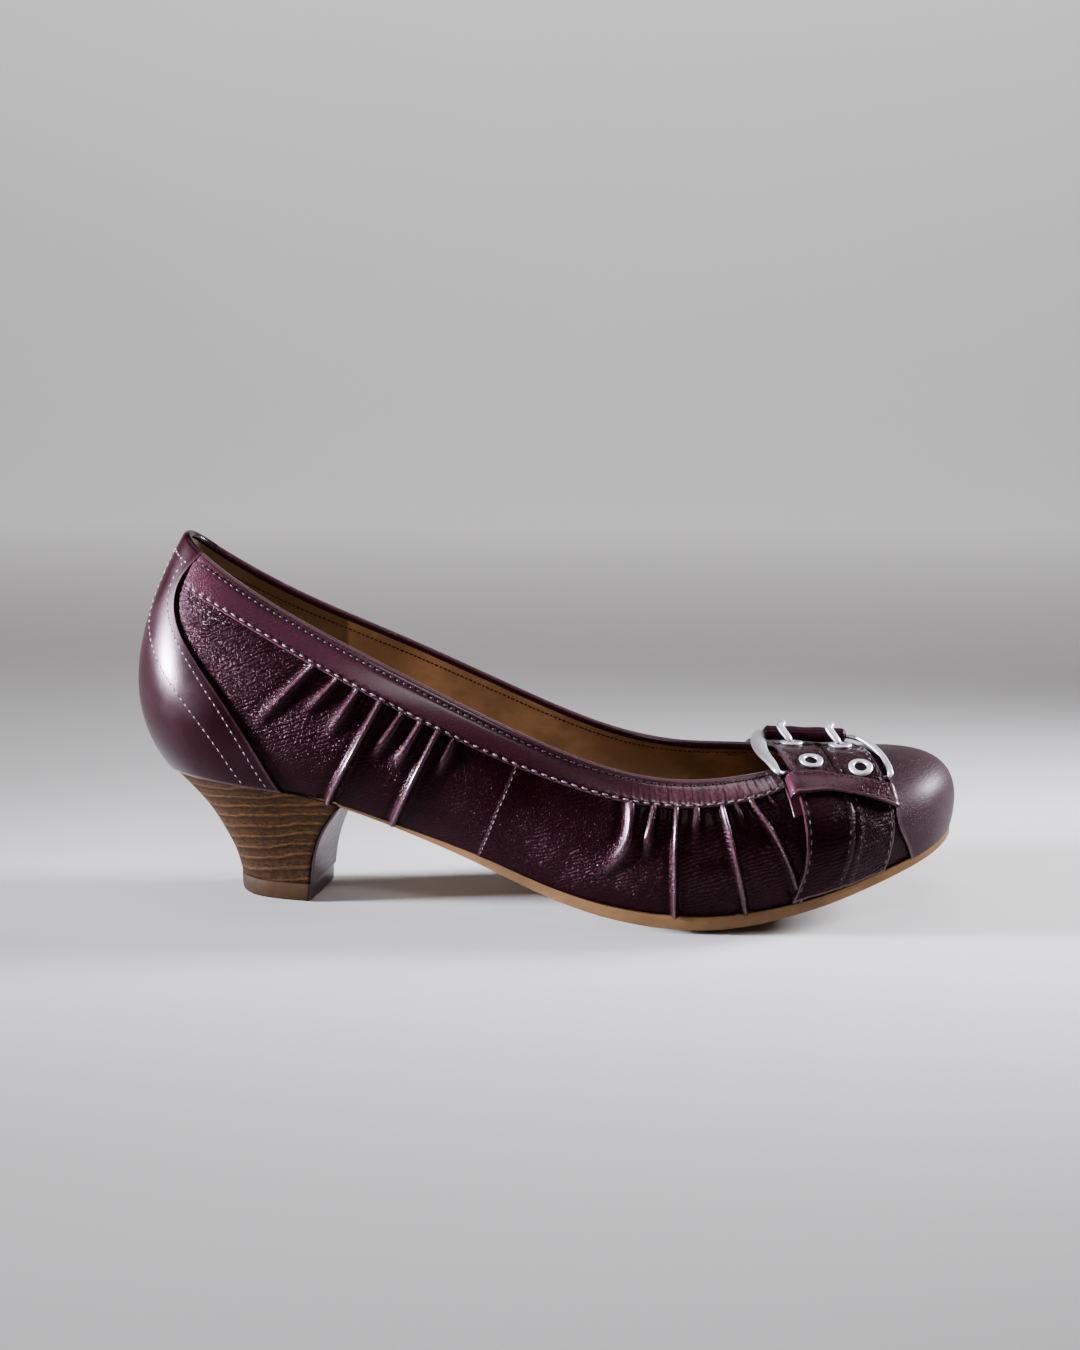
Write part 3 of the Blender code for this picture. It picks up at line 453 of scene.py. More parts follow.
class PumpColours(bpy.types.PropertyGroup):
    plum: colour("Plum", "Leather of the upper", (0.0048, 0.0004, 0.0012, 1.0))
    # Lighter plum for worn places and for painted highlights and sheen on folds, wrinkles and edges.
    plum_lit: colour("Worn and lit plum", "Leather where it is rubbed or stretched", (0.105, 0.036, 0.054, 1.0))
    band: colour("Band", "Leather of the collar band and keeper", (0.020, 0.0035, 0.0074, 1.0))
    toe: colour("Toe", "Leather of the toe cap", (0.016, 0.0054, 0.0082, 1.0))
    thread: colour("Thread", "Thread on the plum leather", (0.24, 0.165, 0.200, 1.0))
    dim_thread: colour("Dim thread", "Thread on the strap and the quarters", (0.115, 0.070, 0.088, 1.0))
    dark_thread: colour("Dark thread", "Thread in the shade of the topline", (0.020, 0.007, 0.010, 1.0))
    tan_thread: colour("Tan thread", "Thread inside the shoe", (0.40, 0.20, 0.075, 1.0))
    lining: colour("Lining", "Lining leather", (0.47, 0.30, 0.175, 1.0))
    sole: colour("Sole", "Edge and underside of the sole", (0.215, 0.112, 0.048, 1.0))
    stack: colour("Stack", "Dark layers of the heel", (0.0085, 0.0030, 0.0007, 1.0))
    stack_line: colour("Stack line", "Light lines between the heel's layers", (0.066, 0.0275, 0.0072, 1.0))
    lift: colour("Lift", "Top lift", (0.044, 0.0205, 0.0078, 1.0))
    breast: colour("Breast", "Cover on the heel's front face", (0.070, 0.036, 0.050, 1.0))
    pewter: colour("Pewter", "Buckle and eyelets", (0.166, 0.137, 0.226, 1.0))
    floor: colour("Floor", "Plain floor and backdrop", (0.62, 0.605, 0.61, 1.0))


class PumpStage(bpy.types.PropertyGroup):
    azimuth: bpy.props.FloatProperty(
        name="Azimuth", description="Camera's turn towards the toe",
        default=radians(4.0), subtype="ANGLE")
    elevation: bpy.props.FloatProperty(
        name="Elevation", description="Camera's height above the level",
        default=radians(11.0), subtype="ANGLE")
    distance: bpy.props.FloatProperty(
        name="Distance", description="Camera's distance from its target", default=550.0 * MM, unit="LENGTH")
    lens: bpy.props.FloatProperty(
        name="Lens", description="Focal length", default=49.12, subtype="DISTANCE_CAMERA")
    target: bpy.props.FloatVectorProperty(
        name="Target", description="Point that the camera looks at",
        default=(-1.095 * MM, -1.645 * MM, 68.0 * MM), subtype="TRANSLATION")


def natural(x, y):
    """Natural cubic spline through the points, as a function of x."""
    x = np.asarray(x, float)
    y = np.asarray(y, float)
    count = len(x)
    step = np.diff(x)
    matrix = np.zeros((count, count))
    target = np.zeros_like(y)
    matrix[0, 0] = 1.0
    matrix[-1, -1] = 1.0
    for i in range(1, count - 1):
        matrix[i, i - 1:i + 2] = step[i - 1], 2 * (step[i - 1] + step[i]), step[i]
        target[i] = 6 * ((y[i + 1] - y[i]) / step[i] - (y[i] - y[i - 1]) / step[i - 1])
    bend = np.linalg.solve(matrix, target)

    def value(at):
        at = np.asarray(at, float)
        i = np.clip(np.searchsorted(x, at) - 1, 0, count - 2)
        width = x[i + 1] - x[i]
        p = (x[i + 1] - at) / width
        q = (at - x[i]) / width
        if y.ndim > 1:
            p, q, width = p[..., None], q[..., None], width[..., None]
        curve = ((p**3 - p) * bend[i] + (q**3 - q) * bend[i + 1]) * width**2 / 6
        return p * y[i] + q * y[i + 1] + curve

    return value


def columns(names, rows):
    """The table's columns by name."""
    return dict(zip(names, np.array(rows, float).T))


def spline_of(names, rows, at, value):
    """Natural spline of one column of a table over another."""
    c = columns(names, rows)
    return natural(c[at], c[value])


def round_the_shoe(lateral, medial):
    """Periodic spline of a ring's column: forward along the lateral side, back along the medial."""
    u = columns(LAST_COLUMNS, LAST)["u"]
    turn = np.concatenate([u / 2, 1 - u[-2:0:-1] / 2])
    value = np.concatenate([lateral, medial[-2:0:-1]])
    spline = natural(np.concatenate([turn - 1, turn, turn + 1]), np.tile(value, 3))
    return lambda t: spline(np.mod(t, 1.0))


def last_rings():
    """The three rings' coordinates as functions of the turn t round the shoe."""
    c = columns(LAST_COLUMNS, LAST)
    rings = {}
    for ring in "fgt":
        rings[ring + "x"] = round_the_shoe(c[ring + "x"], c[ring + "x"])
        rings[ring + "y"] = round_the_shoe(-c[ring + "l"], c[ring + "m"])
    for ring in "gt":
        rings[ring + "z"] = round_the_shoe(c[ring + "z"], c[ring + "z"])
    return rings


RINGS = last_rings()
sole_edge = spline_of(SOLE_COLUMNS, SOLE, "x", "edge")
edge_thickness = spline_of(SOLE_COLUMNS, SOLE, "x", "thickness")
counter_edge = spline_of(COUNTER_COLUMNS, COUNTER, "v", "edge")
counter_row = spline_of(COUNTER_COLUMNS, COUNTER, "v", "row")
band_low = spline_of(BAND_COLUMNS, BAND, "u", "v")


def smooth(low, high, at):
    """Soft step from 0 at low to 1 at high."""
    s = np.clip((np.asarray(at, float) - low) / (high - low), 0.0, 1.0)
    return s * s * (3 - 2 * s)


def plateau(start, full, fade, end, at):
    """Soft step up from start to full, and down again from fade to end."""
    return smooth(start, full, at) * (1 - smooth(fade, end, at))


def bell(at, middle, reach, power=2):
    """1 at the middle, falling off softly on both sides."""
    return np.exp(-np.abs((at - middle) / reach)**power)


def unit(vectors):
    """Vectors brought to length 1."""
    return vectors / np.linalg.norm(vectors, axis=-1, keepdims=True)


def along_side(t):
    """Place u along its side of the turn t."""
    t = np.mod(t, 1.0)
    return 2 * np.minimum(t, 1 - t)


def side_turn(u, side):
    """Turn round the shoe of the place u on a side."""
    return u / 2 if side == "lateral" else 1 - u / 2


def both_sides(u):
    """Turns round the shoe of places along a side: forward on the lateral, back on the medial one."""
    return np.concatenate([u / 2, 1 - u[-2::-1] / 2])


def feather(t):
    """Feather edge, where the upper meets the sole."""
    x = RINGS["fx"](t)
    return np.stack([x, RINGS["fy"](t), sole_edge(x) + edge_thickness(x)], -1)


def top(t):
    """Topline, and in front of the throat the vamp's ridge, which both sides share."""
    here = np.stack([RINGS["tx"](t), RINGS["ty"](t), RINGS["tz"](t)], -1)
    across = np.stack([RINGS["tx"](1 - t), RINGS["ty"](1 - t), RINGS["tz"](1 - t)], -1)
    return np.where((along_side(t) >= U_THROAT)[..., None], 0.5 * (here + across), here)


def girth(t):
    """Girth ring; on the vamp its height lets the fall lines reach the ridge level."""
    level = (feather(t)[..., 2] + 3 * top(t)[..., 2]) / 4
    share = smooth(U_THROAT - THROAT_BLEND[0], U_THROAT + THROAT_BLEND[1], along_side(t))
    z = RINGS["gz"](t) * (1 - share) + level * share
    return np.stack([RINGS["gx"](t), RINGS["gy"](t), z], -1)


def wall(t, v):
    """Outer face of the upper at the turn t and the height v."""
    t, v = np.broadcast_arrays(np.asarray(t, float), np.asarray(v, float))
    v = v[..., None]
    low = feather(t) * (1 - v) * (1 - 2 * v)
    middle = girth(t) * 4 * v * (1 - v)
    return low + middle + top(t) * v * (2 * v - 1)


def wall_normal(t, v):
    """Outward direction of the upper's outer face."""
    t, v = np.broadcast_arrays(np.asarray(t, float), np.minimum(v, NORMAL_TOP))
    forward = wall(t + NUDGE, v) - wall(t - NUDGE, v)
    up = wall(t, v + NUDGE) - wall(t, np.maximum(v - NUDGE, 0.0))
    return unit(np.cross(forward, up))


def off_wall(t, v, lift):
    """Point that stands off the upper's outer face by lift, inside it where that is negative."""
    return wall(t, v) + wall_normal(t, v) * np.asarray(lift)[..., None]


def roll_lift(s):
    """How far a leather that is rolled over the topline stands off it, less towards the lining."""
    return ROLL_LIFT - ROLL_SINK * smooth(*ROLL_SINK_SPAN, s)


def over_topline(t, s, lift):
    """Point lifted off the wall up to s = 1, and rolled over its top to the inside from 1 to 2."""
    t, s = np.broadcast_arrays(np.asarray(t, float), np.asarray(s, float))
    lift = np.broadcast_to(lift, t.shape)[..., None]
    v = np.minimum(s, 1.0)
    normal = wall_normal(t, v)
    flat = wall(t, v) + normal * lift
    rise = unit(wall(t, np.ones_like(t)) - wall(t, np.full_like(t, NORMAL_TOP)))
    angle = (np.maximum(s - 1.0, 0.0) * pi)[..., None]
    centre = wall(t, v) - normal * WALL / 2
    rolled = centre + (WALL / 2 + lift) * (np.cos(angle) * normal + np.sin(angle) * rise)
    return np.where((s > 1.0)[..., None], rolled, flat)


def ring_offset(t, reach):
    """Feather edge moved outwards in plan by reach."""
    tangent = feather(t + NUDGE) - feather(t - NUDGE)
    outward = unit(np.stack([tangent[..., 1], -tangent[..., 0]], -1))
    point = feather(t)
    point[..., :2] += outward * np.asarray(reach)[..., None]
    return point


def strap_on_wall(a, share, side, extra=0.0):
    """Underside of the strap on a side: a across it from rear to front, share up from its foot."""
    c = columns(STRAP_COLUMNS, STRAP[side])
    leave = columns(LEAVE_COLUMNS, LEAVE)
    stand = columns(STAND_OFF_COLUMNS, STAND_OFF)
    v = STRAP_FOOT + (natural(leave["across"], leave[side])(a) - STRAP_FOOT) * share
    u = np.interp(v, c["v"], c["rear"]) * (1 - a) + np.interp(v, c["v"], c["front"]) * a
    lift = np.interp(share, stand["share"], stand[side]) + extra
    return off_wall(side_turn(u, side), v, lift)


def strap_line(a):
    """Underside of the strap at a across it, as a curve from the lateral to the medial foot."""
    across = np.full(len(STRAP_SHARES), float(a))
    lateral = strap_on_wall(across, STRAP_SHARES, "lateral")
    medial = strap_on_wall(across, STRAP_SHARES[::-1], "medial")
    folds = [np.array(fold[0]) * (1 - a) + np.array(fold[1]) * a for fold in (CREST, DIP, SHOULDER)]
    points = np.concatenate([lateral, folds, medial])
    chord = np.concatenate([[0.0], np.cumsum(np.linalg.norm(np.diff(points, axis=0), axis=1))])
    knots = chord / chord[-1]
    return natural(knots, points), knots


def strap_point(a, fold):
    """Point of the strap's underside, counted in the places that its curve runs through."""
    curve, knots = strap_line(a)
    return curve(np.interp(fold, np.arange(len(knots)), knots))


def strap_frame(a, fold):
    """Point on the strap's outer face with its directions across, along and out."""
    nudge = 0.03
    here = strap_point(a, fold)
    run = unit(strap_point(a, fold + nudge) - strap_point(a, fold - nudge))
    across = strap_point(a + nudge, fold) - strap_point(a - nudge, fold)
    out = unit(np.cross(across, run))
    return here + out * STRAP_THICKNESS, np.cross(run, out), run, out


def real(points):
    """Points of the tables in metres, in the part's own frame."""
    return (np.asarray(points, float) - MIDDLE) * MM


def side_places(*spans):
    """Places along a side: spans of (start, end, count) put end to end."""
    places = [np.linspace(start, end, count, endpoint=False) for start, end, count in spans]
    return np.concatenate(places + [[spans[-1][1]]])


def grid_normals(points):
    """Outward direction at each point of a grid, from its neighbours."""
    normal = np.cross(np.gradient(points, axis=0), np.gradient(points, axis=1))
    return normal / np.maximum(np.linalg.norm(normal, axis=-1, keepdims=True), 1e-9)


def choose(piece):
    """Select one piece alone, as the active one."""
    bpy.ops.object.select_all(action="DESELECT")
    piece.select_set(True)
    bpy.context.view_layer.objects.active = piece


def edit(piece, *steps):
    """Run edit-mode operators on all of a piece."""
    choose(piece)
    bpy.ops.object.mode_set(mode="EDIT")
    bpy.ops.mesh.select_all(action="SELECT")
    for step, settings in steps:
        step(**settings)
    bpy.ops.object.mode_set(mode="OBJECT")


def face_outwards(piece):
    """Turn all faces of a piece to its outside."""
    edit(piece, (bpy.ops.mesh.normals_make_consistent, {"inside": False}))


def sheet(name, points, **marks):
    """Grid primitive laid on a grid of points; marks are values kept at each point."""
    rows, across = points.shape[:2]
    bpy.ops.object.select_all(action="DESELECT")
    bpy.ops.mesh.primitive_grid_add(x_subdivisions=rows - 1, y_subdivisions=across - 1, size=1.0)
    piece = bpy.context.object
    piece.name = name
    piece.data.name = name
    flat = np.empty(len(piece.data.vertices) * 3)
    piece.data.vertices.foreach_get("co", flat)
    flat = flat.reshape(-1, 3)
    if len(flat) != rows * across:
        raise RuntimeError(f"{name}: the grid has {len(flat)} points and needs {rows * across}")
    i = np.rint((flat[:, 0] + 0.5) * (rows - 1)).astype(int)
    j = np.rint((flat[:, 1] + 0.5) * (across - 1)).astype(int)
    piece.data.vertices.foreach_set("co", real(points[i, j]).ravel())
    for mark, value in marks.items():
        attribute = piece.data.attributes.new(mark, "FLOAT", "POINT")
        value = np.broadcast_to(value, points.shape[:2])
        attribute.data.foreach_set("value", value[i, j].astype(np.float32))
    piece.data.update()
    edit(piece, (bpy.ops.mesh.remove_doubles, {"threshold": 0.004 * MM}))
    return piece


def finish_with(piece, kind, **settings):
    """Add a modifier to a piece and apply it."""
    choose(piece)
    bpy.ops.object.modifier_add(type=kind)
    modifier = piece.modifiers[-1]
    for key, value in settings.items():
        setattr(modifier, key, value)
    bpy.ops.object.modifier_apply(modifier=modifier.name)


def round_edges(piece, width, segments=3):
    """Round the sharp edges of a piece."""
    finish_with(piece, "BEVEL", width=width, segments=segments, limit_method="ANGLE", angle_limit=SHARP_EDGE)


def thicken(piece, thickness, offset, edge=0.0):
    """Give a sheet its thickness, and round its cut edges."""
    finish_with(piece, "SOLIDIFY", thickness=thickness, offset=offset, use_even_offset=False)
    if edge:
        round_edges(piece, edge)


def close_ends(piece):
    """Fill the open ends of a lofted piece and face it outwards."""
    edit(piece, (bpy.ops.mesh.fill_holes, {"sides": 0}))
    face_outwards(piece)


def place(piece, slot, material, *nodes, sharp=40.0):
    """Give a piece its material, and let it ride on the shoe in place of its solids."""
    choose(piece)
    bpy.ops.object.shade_smooth_by_angle(angle=radians(sharp))
    piece.data.materials.clear()
    piece.data.materials.append(material)
    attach(piece, "root")
    if nodes:
        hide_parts(*nodes)
    return piece


def border(points, reach):
    """1 at the border of a grid of points, falling to 0 within reach millimetres of it."""
    along = np.linalg.norm(np.diff(points, axis=0), axis=-1)
    over = np.linalg.norm(np.diff(points, axis=1), axis=-1)
    zero_row = np.zeros((1, points.shape[1]))
    zero_column = np.zeros((points.shape[0], 1))
    down = np.concatenate([zero_row, np.cumsum(along, axis=0)])
    right = np.concatenate([zero_column, np.cumsum(over, axis=1)], axis=1)
    nearest = np.minimum(np.minimum(down, down[-1] - down), np.minimum(right, right[:, -1:] - right))
    return 1 - smooth(0.0, reach, nearest)


def loft(name, rings):
    """Closed body through rings of points, each run round once."""
    rings = np.concatenate([rings, rings[:, :1]], axis=1)
    piece = sheet(name, rings)
    close_ends(piece)
    return piece


def bar(name, path, wide, high, sides=20, loop=False):
    """Bar of oval section along a path; its height stands up from the path, its width lies across."""
    tangent = np.roll(path, -1, 0) - np.roll(path, 1, 0) if loop else np.gradient(path, axis=0)
    tangent = unit(tangent)
    across = unit(np.cross(tangent, (0.0, 0.0, 1.0)))
    up = np.cross(across, tangent)
    turn = 2 * pi * np.arange(sides) / sides
    points = path[:, None] + np.cos(turn)[None, :, None] * across[:, None] * wide[:, None, None] / 2
    points = points + np.sin(turn)[None, :, None] * up[:, None] * high[:, None, None] / 2
    if loop:
        points = np.concatenate([points, points[:1]])
    return loft(name, points)


# Shader building


def add_node(tree, kind, inputs=(), **settings):
    """Node of a tree with its settings, and its inputs set or linked."""
    node = tree.nodes.new(kind)
    for key, value in settings.items():
        setattr(node, key, value)
    for key, value in dict(inputs).items():
        socket = node.inputs[key]
        if isinstance(value, bpy.types.NodeSocket):
            tree.links.new(value, socket)
        else:
            socket.default_value = value
    return node


def maths(tree, operation, first, second=0.0, clamp=False):
    """Value of a sum on two values."""
    node = add_node(tree, "ShaderNodeMath", {0: first, 1: second}, operation=operation, use_clamp=clamp)
    return node.outputs[0]


def times(tree, first, second):
    """Product of two values."""
    return maths(tree, "MULTIPLY", first, second)


def ramp(tree, value, low, high, to_low=0.0, to_high=1.0):
    """Value moved softly from one range to another."""
    node = add_node(
        tree, "ShaderNodeMapRange",
        {"Value": value, "From Min": low, "From Max": high, "To Min": to_low, "To Max": to_high},
        interpolation_type="SMOOTHSTEP")
    return node.outputs["Result"]


def mix_colours(tree, share, first, second):
    """Two colours mixed by a share."""
    node = add_node(tree, "ShaderNodeMix", {0: share, 6: first, 7: second}, data_type="RGBA")
    return node.outputs[2]


def toned(base, factor):
    """Colour made darker or lighter by a factor."""
    return tuple(min(1.0, c * factor) for c in base[:3]) + (1.0,)


def noise(tree, vector, scale, detail=4.0, roughness=0.55):
    """Soft noise at a scale."""
    node = add_node(tree, "ShaderNodeTexNoise",
                    {"Vector": vector, "Scale": scale, "Detail": detail, "Roughness": roughness})
    return node.outputs["Fac"]


def cells(tree, vector, scale):
    """Distance to the edges of small cells."""
    node = add_node(tree, "ShaderNodeTexVoronoi", {"Vector": vector, "Scale": scale},
                    feature="DISTANCE_TO_EDGE")
    return node.outputs["Distance"]


def mark(tree, name):
    """Value kept at each point of a piece."""
    return add_node(tree, "ShaderNodeAttribute", attribute_name=name).outputs["Fac"]


def new_group(name, inputs, outputs):
    """Empty node group with named inputs and outputs."""
    group = bpy.data.node_groups.new(name, "ShaderNodeTree")
    for socket, kind in inputs:
        group.interface.new_socket(name=socket, in_out="INPUT", socket_type=kind)
    for socket, kind in outputs:
        group.interface.new_socket(name=socket, in_out="OUTPUT", socket_type=kind)
    return group, group.nodes.new("NodeGroupInput").outputs, group.nodes.new("NodeGroupOutput").inputs


def grain_group():
    """Leather grain: fine pores, and wrinkles where the leather is gathered or bent."""
    group = bpy.data.node_groups.get("leather grain")
    if group:
        return group
    group, given, out = new_group(
        "leather grain",
        (("Vector", "NodeSocketVector"), ("Pores", "NodeSocketFloat"), ("Wrinkle", "NodeSocketFloat")),
        (("Height", "NodeSocketFloat"), ("Mottle", "NodeSocketFloat"), ("Crease", "NodeSocketFloat")))
    vector = given["Vector"]
    pores = ramp(group, cells(group, vector, given["Pores"]), 0.0, 0.16)
    drift = add_node(group, "ShaderNodeTexNoise", {"Vector": vector, "Scale": 210.0, "Detail": 3.0})
    warp = add_node(group, "ShaderNodeVectorMath", {0: drift.outputs["Color"], 1: RIPPLE_WANDER},
                    operation="MULTIPLY").outputs[0]
    bent = add_node(group, "ShaderNodeVectorMath", {0: vector, 1: warp}, operation="ADD").outputs[0]
    tilted = add_node(group, "ShaderNodeMapping",
                      {"Vector": bent, "Rotation": (0.0, RIPPLE_LEAN, 0.0)}).outputs[0]
    ripples = add_node(group, "ShaderNodeTexWave", {
        "Vector": tilted, "Scale": 270.0, "Distortion": 6.5, "Detail": 2.0, "Detail Scale": 0.7},
        wave_type="BANDS", bands_direction="Z").outputs["Fac"]
    patches = ramp(group, noise(group, vector, 150.0, 2.0), 0.36, 0.60, 0.30, 1.0)
    ripples = times(group, times(group, ripples, patches), RIPPLE_DEPTH)
    cracks = times(group, ramp(group, cells(group, bent, 640.0), 0.0, 0.34), CRACK_DEPTH)
    crease = maths(group, "ADD", ripples, cracks)
    depth = times(group, maths(group, "SUBTRACT", crease, CREASE_TOP), given["Wrinkle"])
    height = maths(group, "ADD", times(group, pores, PORE_DEPTH), depth)
    group.links.new(height, out["Height"])
    group.links.new(noise(group, vector, 60.0, 5.0), out["Mottle"])
    group.links.new(times(group, depth, -1.0), out["Crease"])
    return group


def wear_and_sheen_group():
    """Wear and painted sheen: a mark broken up by fine noise, as leather wears along a fold or an edge and as
    a sheen painted on it breaks up.
    """
    group = bpy.data.node_groups.get("rubbing")
    if group:
        return group
    group, given, out = new_group(
        "rubbing",
        (("Vector", "NodeSocketVector"), ("Mark", "NodeSocketFloat")),
        (("Rubbed", "NodeSocketFloat"),))
    flecks = ramp(group, noise(group, given["Vector"], 900.0, 5.0, 0.7), 0.30, 0.68, 0.25, 1.0)
    group.links.new(times(group, given["Mark"], flecks), out["Rubbed"])
    return group


def new_material(name, roughness, metallic=0.0, specular=0.5, **sockets):
    """Material with its shader, its own object coordinates and the shader's constant values."""
    material = bpy.data.materials.new(name)
    material.use_nodes = True
    tree = material.node_tree
    shader = tree.nodes["Principled BSDF"]
    shader.inputs["Roughness"].default_value = roughness
    shader.inputs["Metallic"].default_value = metallic
    shader.inputs["Specular IOR Level"].default_value = specular
    for key, value in sockets.items():
        shader.inputs[key.replace("_", " ").title()].default_value = value
    vector = add_node(tree, "ShaderNodeTexCoord").outputs["Object"]
    return material, tree, shader, vector


def feed(shader, key, value):
    """Link a value to one of the shader's inputs."""
    shader.id_data.links.new(value, shader.inputs[key])


def bump(tree, shader, height, strength, distance):
    """Relief from a height."""
    node = add_node(tree, "ShaderNodeBump", {"Height": height, "Strength": strength, "Distance": distance})
    feed(shader, "Normal", node.outputs["Normal"])


def group_node(tree, group, inputs):
    """Shared effect placed in a material."""
    return add_node(tree, "ShaderNodeGroup", inputs, node_tree=group).outputs


def once(build):
    """Let a material's function build it only where no material has its name yet."""
    def find(name, *given):
        return bpy.data.materials.get(name) or build(name, *given)

    return find


@once
def leather_material(name, colours):
    """Plum leather: mottled, with painted shade in its hollows, painted highlights on the crests of its
    wrinkles, and wear with a painted sheen along folds and edges.
    """
    base, roughness, wrinkle, pores, coat, coat_roughness, relief, specular = LEATHERS[name]
    base, lit = tuple(getattr(colours, base)), tuple(colours.plum_lit)
    material, tree, shader, vector = new_material(
        name, roughness, specular=specular, coat_weight=coat, coat_roughness=coat_roughness,
        specular_tint=PLUM_SHEEN)
    wrinkled = maths(tree, "ADD", mark(tree, "crease"), wrinkle, clamp=True)
    grain = group_node(tree, grain_group(), {"Vector": vector, "Pores": pores, "Wrinkle": wrinkled})
    worn_and_lit = group_node(tree, wear_and_sheen_group(), {"Vector": vector, "Mark": mark(tree, "rub")})
    tone = mix_colours(tree, ramp(tree, grain["Mottle"], 0.3, 0.75, 0.0, 0.025), base, lit)
    # Painted highlight on the crests of the fine wrinkles.
    ridge = maths(tree, "SUBTRACT", times(tree, wrinkled, CREASE_TOP), grain["Crease"])
    tone = mix_colours(tree, ramp(tree, ridge, 0.20, 0.42, 0.0, 0.28), tone, lit)
    # Painted shade where the leather is marked as lying in shade.
    tone = mix_colours(tree, times(tree, mark(tree, "hollow"), 0.75), tone, PLUM_PAINTED_SHADE)
    # Wear and painted sheen, lighter where marked.
    tone = mix_colours(tree, times(tree, worn_and_lit["Rubbed"], 0.42), tone, lit)
    feed(shader, "Base Color", tone)
    rough = ramp(tree, grain["Mottle"], 0.3, 0.7, roughness - 0.05, roughness + 0.07)
    feed(shader, "Roughness", maths(tree, "ADD", rough, times(tree, grain["Crease"], 0.12)))
    gloss = maths(tree, "ADD", times(tree, mark(tree, "rub"), 0.72), coat, clamp=True)
    feed(shader, "Coat Weight", gloss)
    bump(tree, shader, grain["Height"], relief, 0.7 * MM)
    return material


@once
def tan_leather(name, base, roughness, streak):
    """Undyed leather: fine fibres, soft stains, lighter worn edges, and painted shade where it is marked."""
    material, tree, shader, vector = new_material(name, roughness, specular=0.10)
    grain = group_node(tree, grain_group(), {"Vector": vector, "Pores": 1700.0, "Wrinkle": 0.06})
    drawn = add_node(tree, "ShaderNodeMapping", {"Vector": vector, "Scale": streak}).outputs[0]
    fibres = noise(tree, drawn, 420.0, 6.0, 0.65)
    dark = toned(base, 0.52)
    tone = mix_colours(tree, ramp(tree, grain["Mottle"], 0.32, 0.72), dark, tuple(base))
    tone = mix_colours(tree, ramp(tree, fibres, 0.42, 0.72, 0.0, 0.5), tone, dark)
    tone = mix_colours(tree, times(tree, mark(tree, "rub"), 0.5), tone, toned(base, 1.45))
    # Painted shade where marked.
    tone = mix_colours(tree, times(tree, mark(tree, "hollow"), 0.8), tone, toned(base, 0.22))
    feed(shader, "Base Color", tone)
    feed(shader, "Roughness", ramp(tree, fibres, 0.3, 0.7, roughness - 0.06, roughness + 0.10))
    bump(tree, shader, maths(tree, "ADD", grain["Height"], fibres), 0.35, 0.18 * MM)
    return material


@once
def stack_leather(name, colours, layer):
    """Stacked heel: slanted layers of rough dark leather with a light line under each."""
    material, tree, shader, vector = new_material(name, 0.62, specular=0.06)
    place_of = add_node(tree, "ShaderNodeSeparateXYZ", {"Vector": vector}).outputs
    wander = times(tree, maths(tree, "SUBTRACT", noise(tree, vector, 75.0, 5.0), 0.5), 4.2 * MM)
    level = maths(tree, "ADD", place_of["Z"], wander)
    height = maths(tree, "ADD", level, times(tree, place_of["X"], -0.15))
    share = maths(tree, "FRACT", maths(tree, "DIVIDE", height, layer))
    off_line = maths(tree, "ABSOLUTE", maths(tree, "SUBTRACT", share, 0.5))
    line = ramp(tree, off_line, 0.30, 0.47)
    # Painted shade: within each layer the speckled middle tone fades towards the top, darkening it under the
    # light line above.
    depth = ramp(tree, share, 0.95, 0.30)
    drawn = add_node(tree, "ShaderNodeMapping", {"Vector": vector, "Scale": (0.8, 0.8, 1.15)}).outputs[0]
    fibres = noise(tree, drawn, 900.0, 6.0, 0.85)
    dark = tuple(colours.stack)
    middle = tuple(0.36 * a + 0.64 * b for a, b in zip(colours.stack, colours.stack_line))
    speckle = times(tree, ramp(tree, fibres, 0.40, 0.62), ramp(tree, depth, 0.0, 1.0, 0.35, 1.0))
    tone = mix_colours(tree, speckle, dark, middle)
    line_share = times(tree, line, ramp(tree, fibres, 0.36, 0.62, 0.15, 0.95))
    feed(shader, "Base Color", mix_colours(tree, line_share, tone, tuple(colours.stack_line)))
    feed(shader, "Roughness", ramp(tree, fibres, 0.3, 0.7, 0.54, 0.74))
    bump(tree, shader, maths(tree, "ADD", times(tree, line, 0.7), fibres), 0.7, 0.34 * MM)
    return material


@once
def breast_material(name, colours):
    """Satin cover with fine scratches across the heel's front face."""
    material, tree, shader, vector = new_material(name, 0.42)
    drawn = add_node(tree, "ShaderNodeMapping", {
        "Vector": vector, "Rotation": (radians(-38.0), 0.0, 0.0), "Scale": (1.0, 0.12, 1.6)}).outputs[0]
    lines = noise(tree, drawn, 900.0, 5.0, 0.6)
    share = ramp(tree, lines, 0.5, 0.75, 0.0, 0.7)
    feed(shader, "Base Color", mix_colours(tree, share, tuple(colours.breast), toned(colours.breast, 1.7)))
    feed(shader, "Roughness", ramp(tree, lines, 0.3, 0.7, 0.36, 0.5))
    bump(tree, shader, lines, 0.25, 0.12 * MM)
    return material


@once
def pewter_material(name, colours):
    """Softly polished pewter with faint casting marks and dull, darker patches at random."""
    material, tree, shader, vector = new_material(name, 0.22, metallic=1.0)
    cloud = noise(tree, vector, 260.0, 4.0)
    fine = noise(tree, vector, 2400.0, 3.0)
    share = ramp(tree, cloud, 0.35, 0.7)
    feed(shader, "Base Color", mix_colours(tree, share, tuple(colours.pewter), toned(colours.pewter, 0.62)))
    feed(shader, "Roughness", ramp(tree, cloud, 0.3, 0.7, 0.16, 0.30))
    bump(tree, shader, fine, 0.12, 0.08 * MM)
    return material


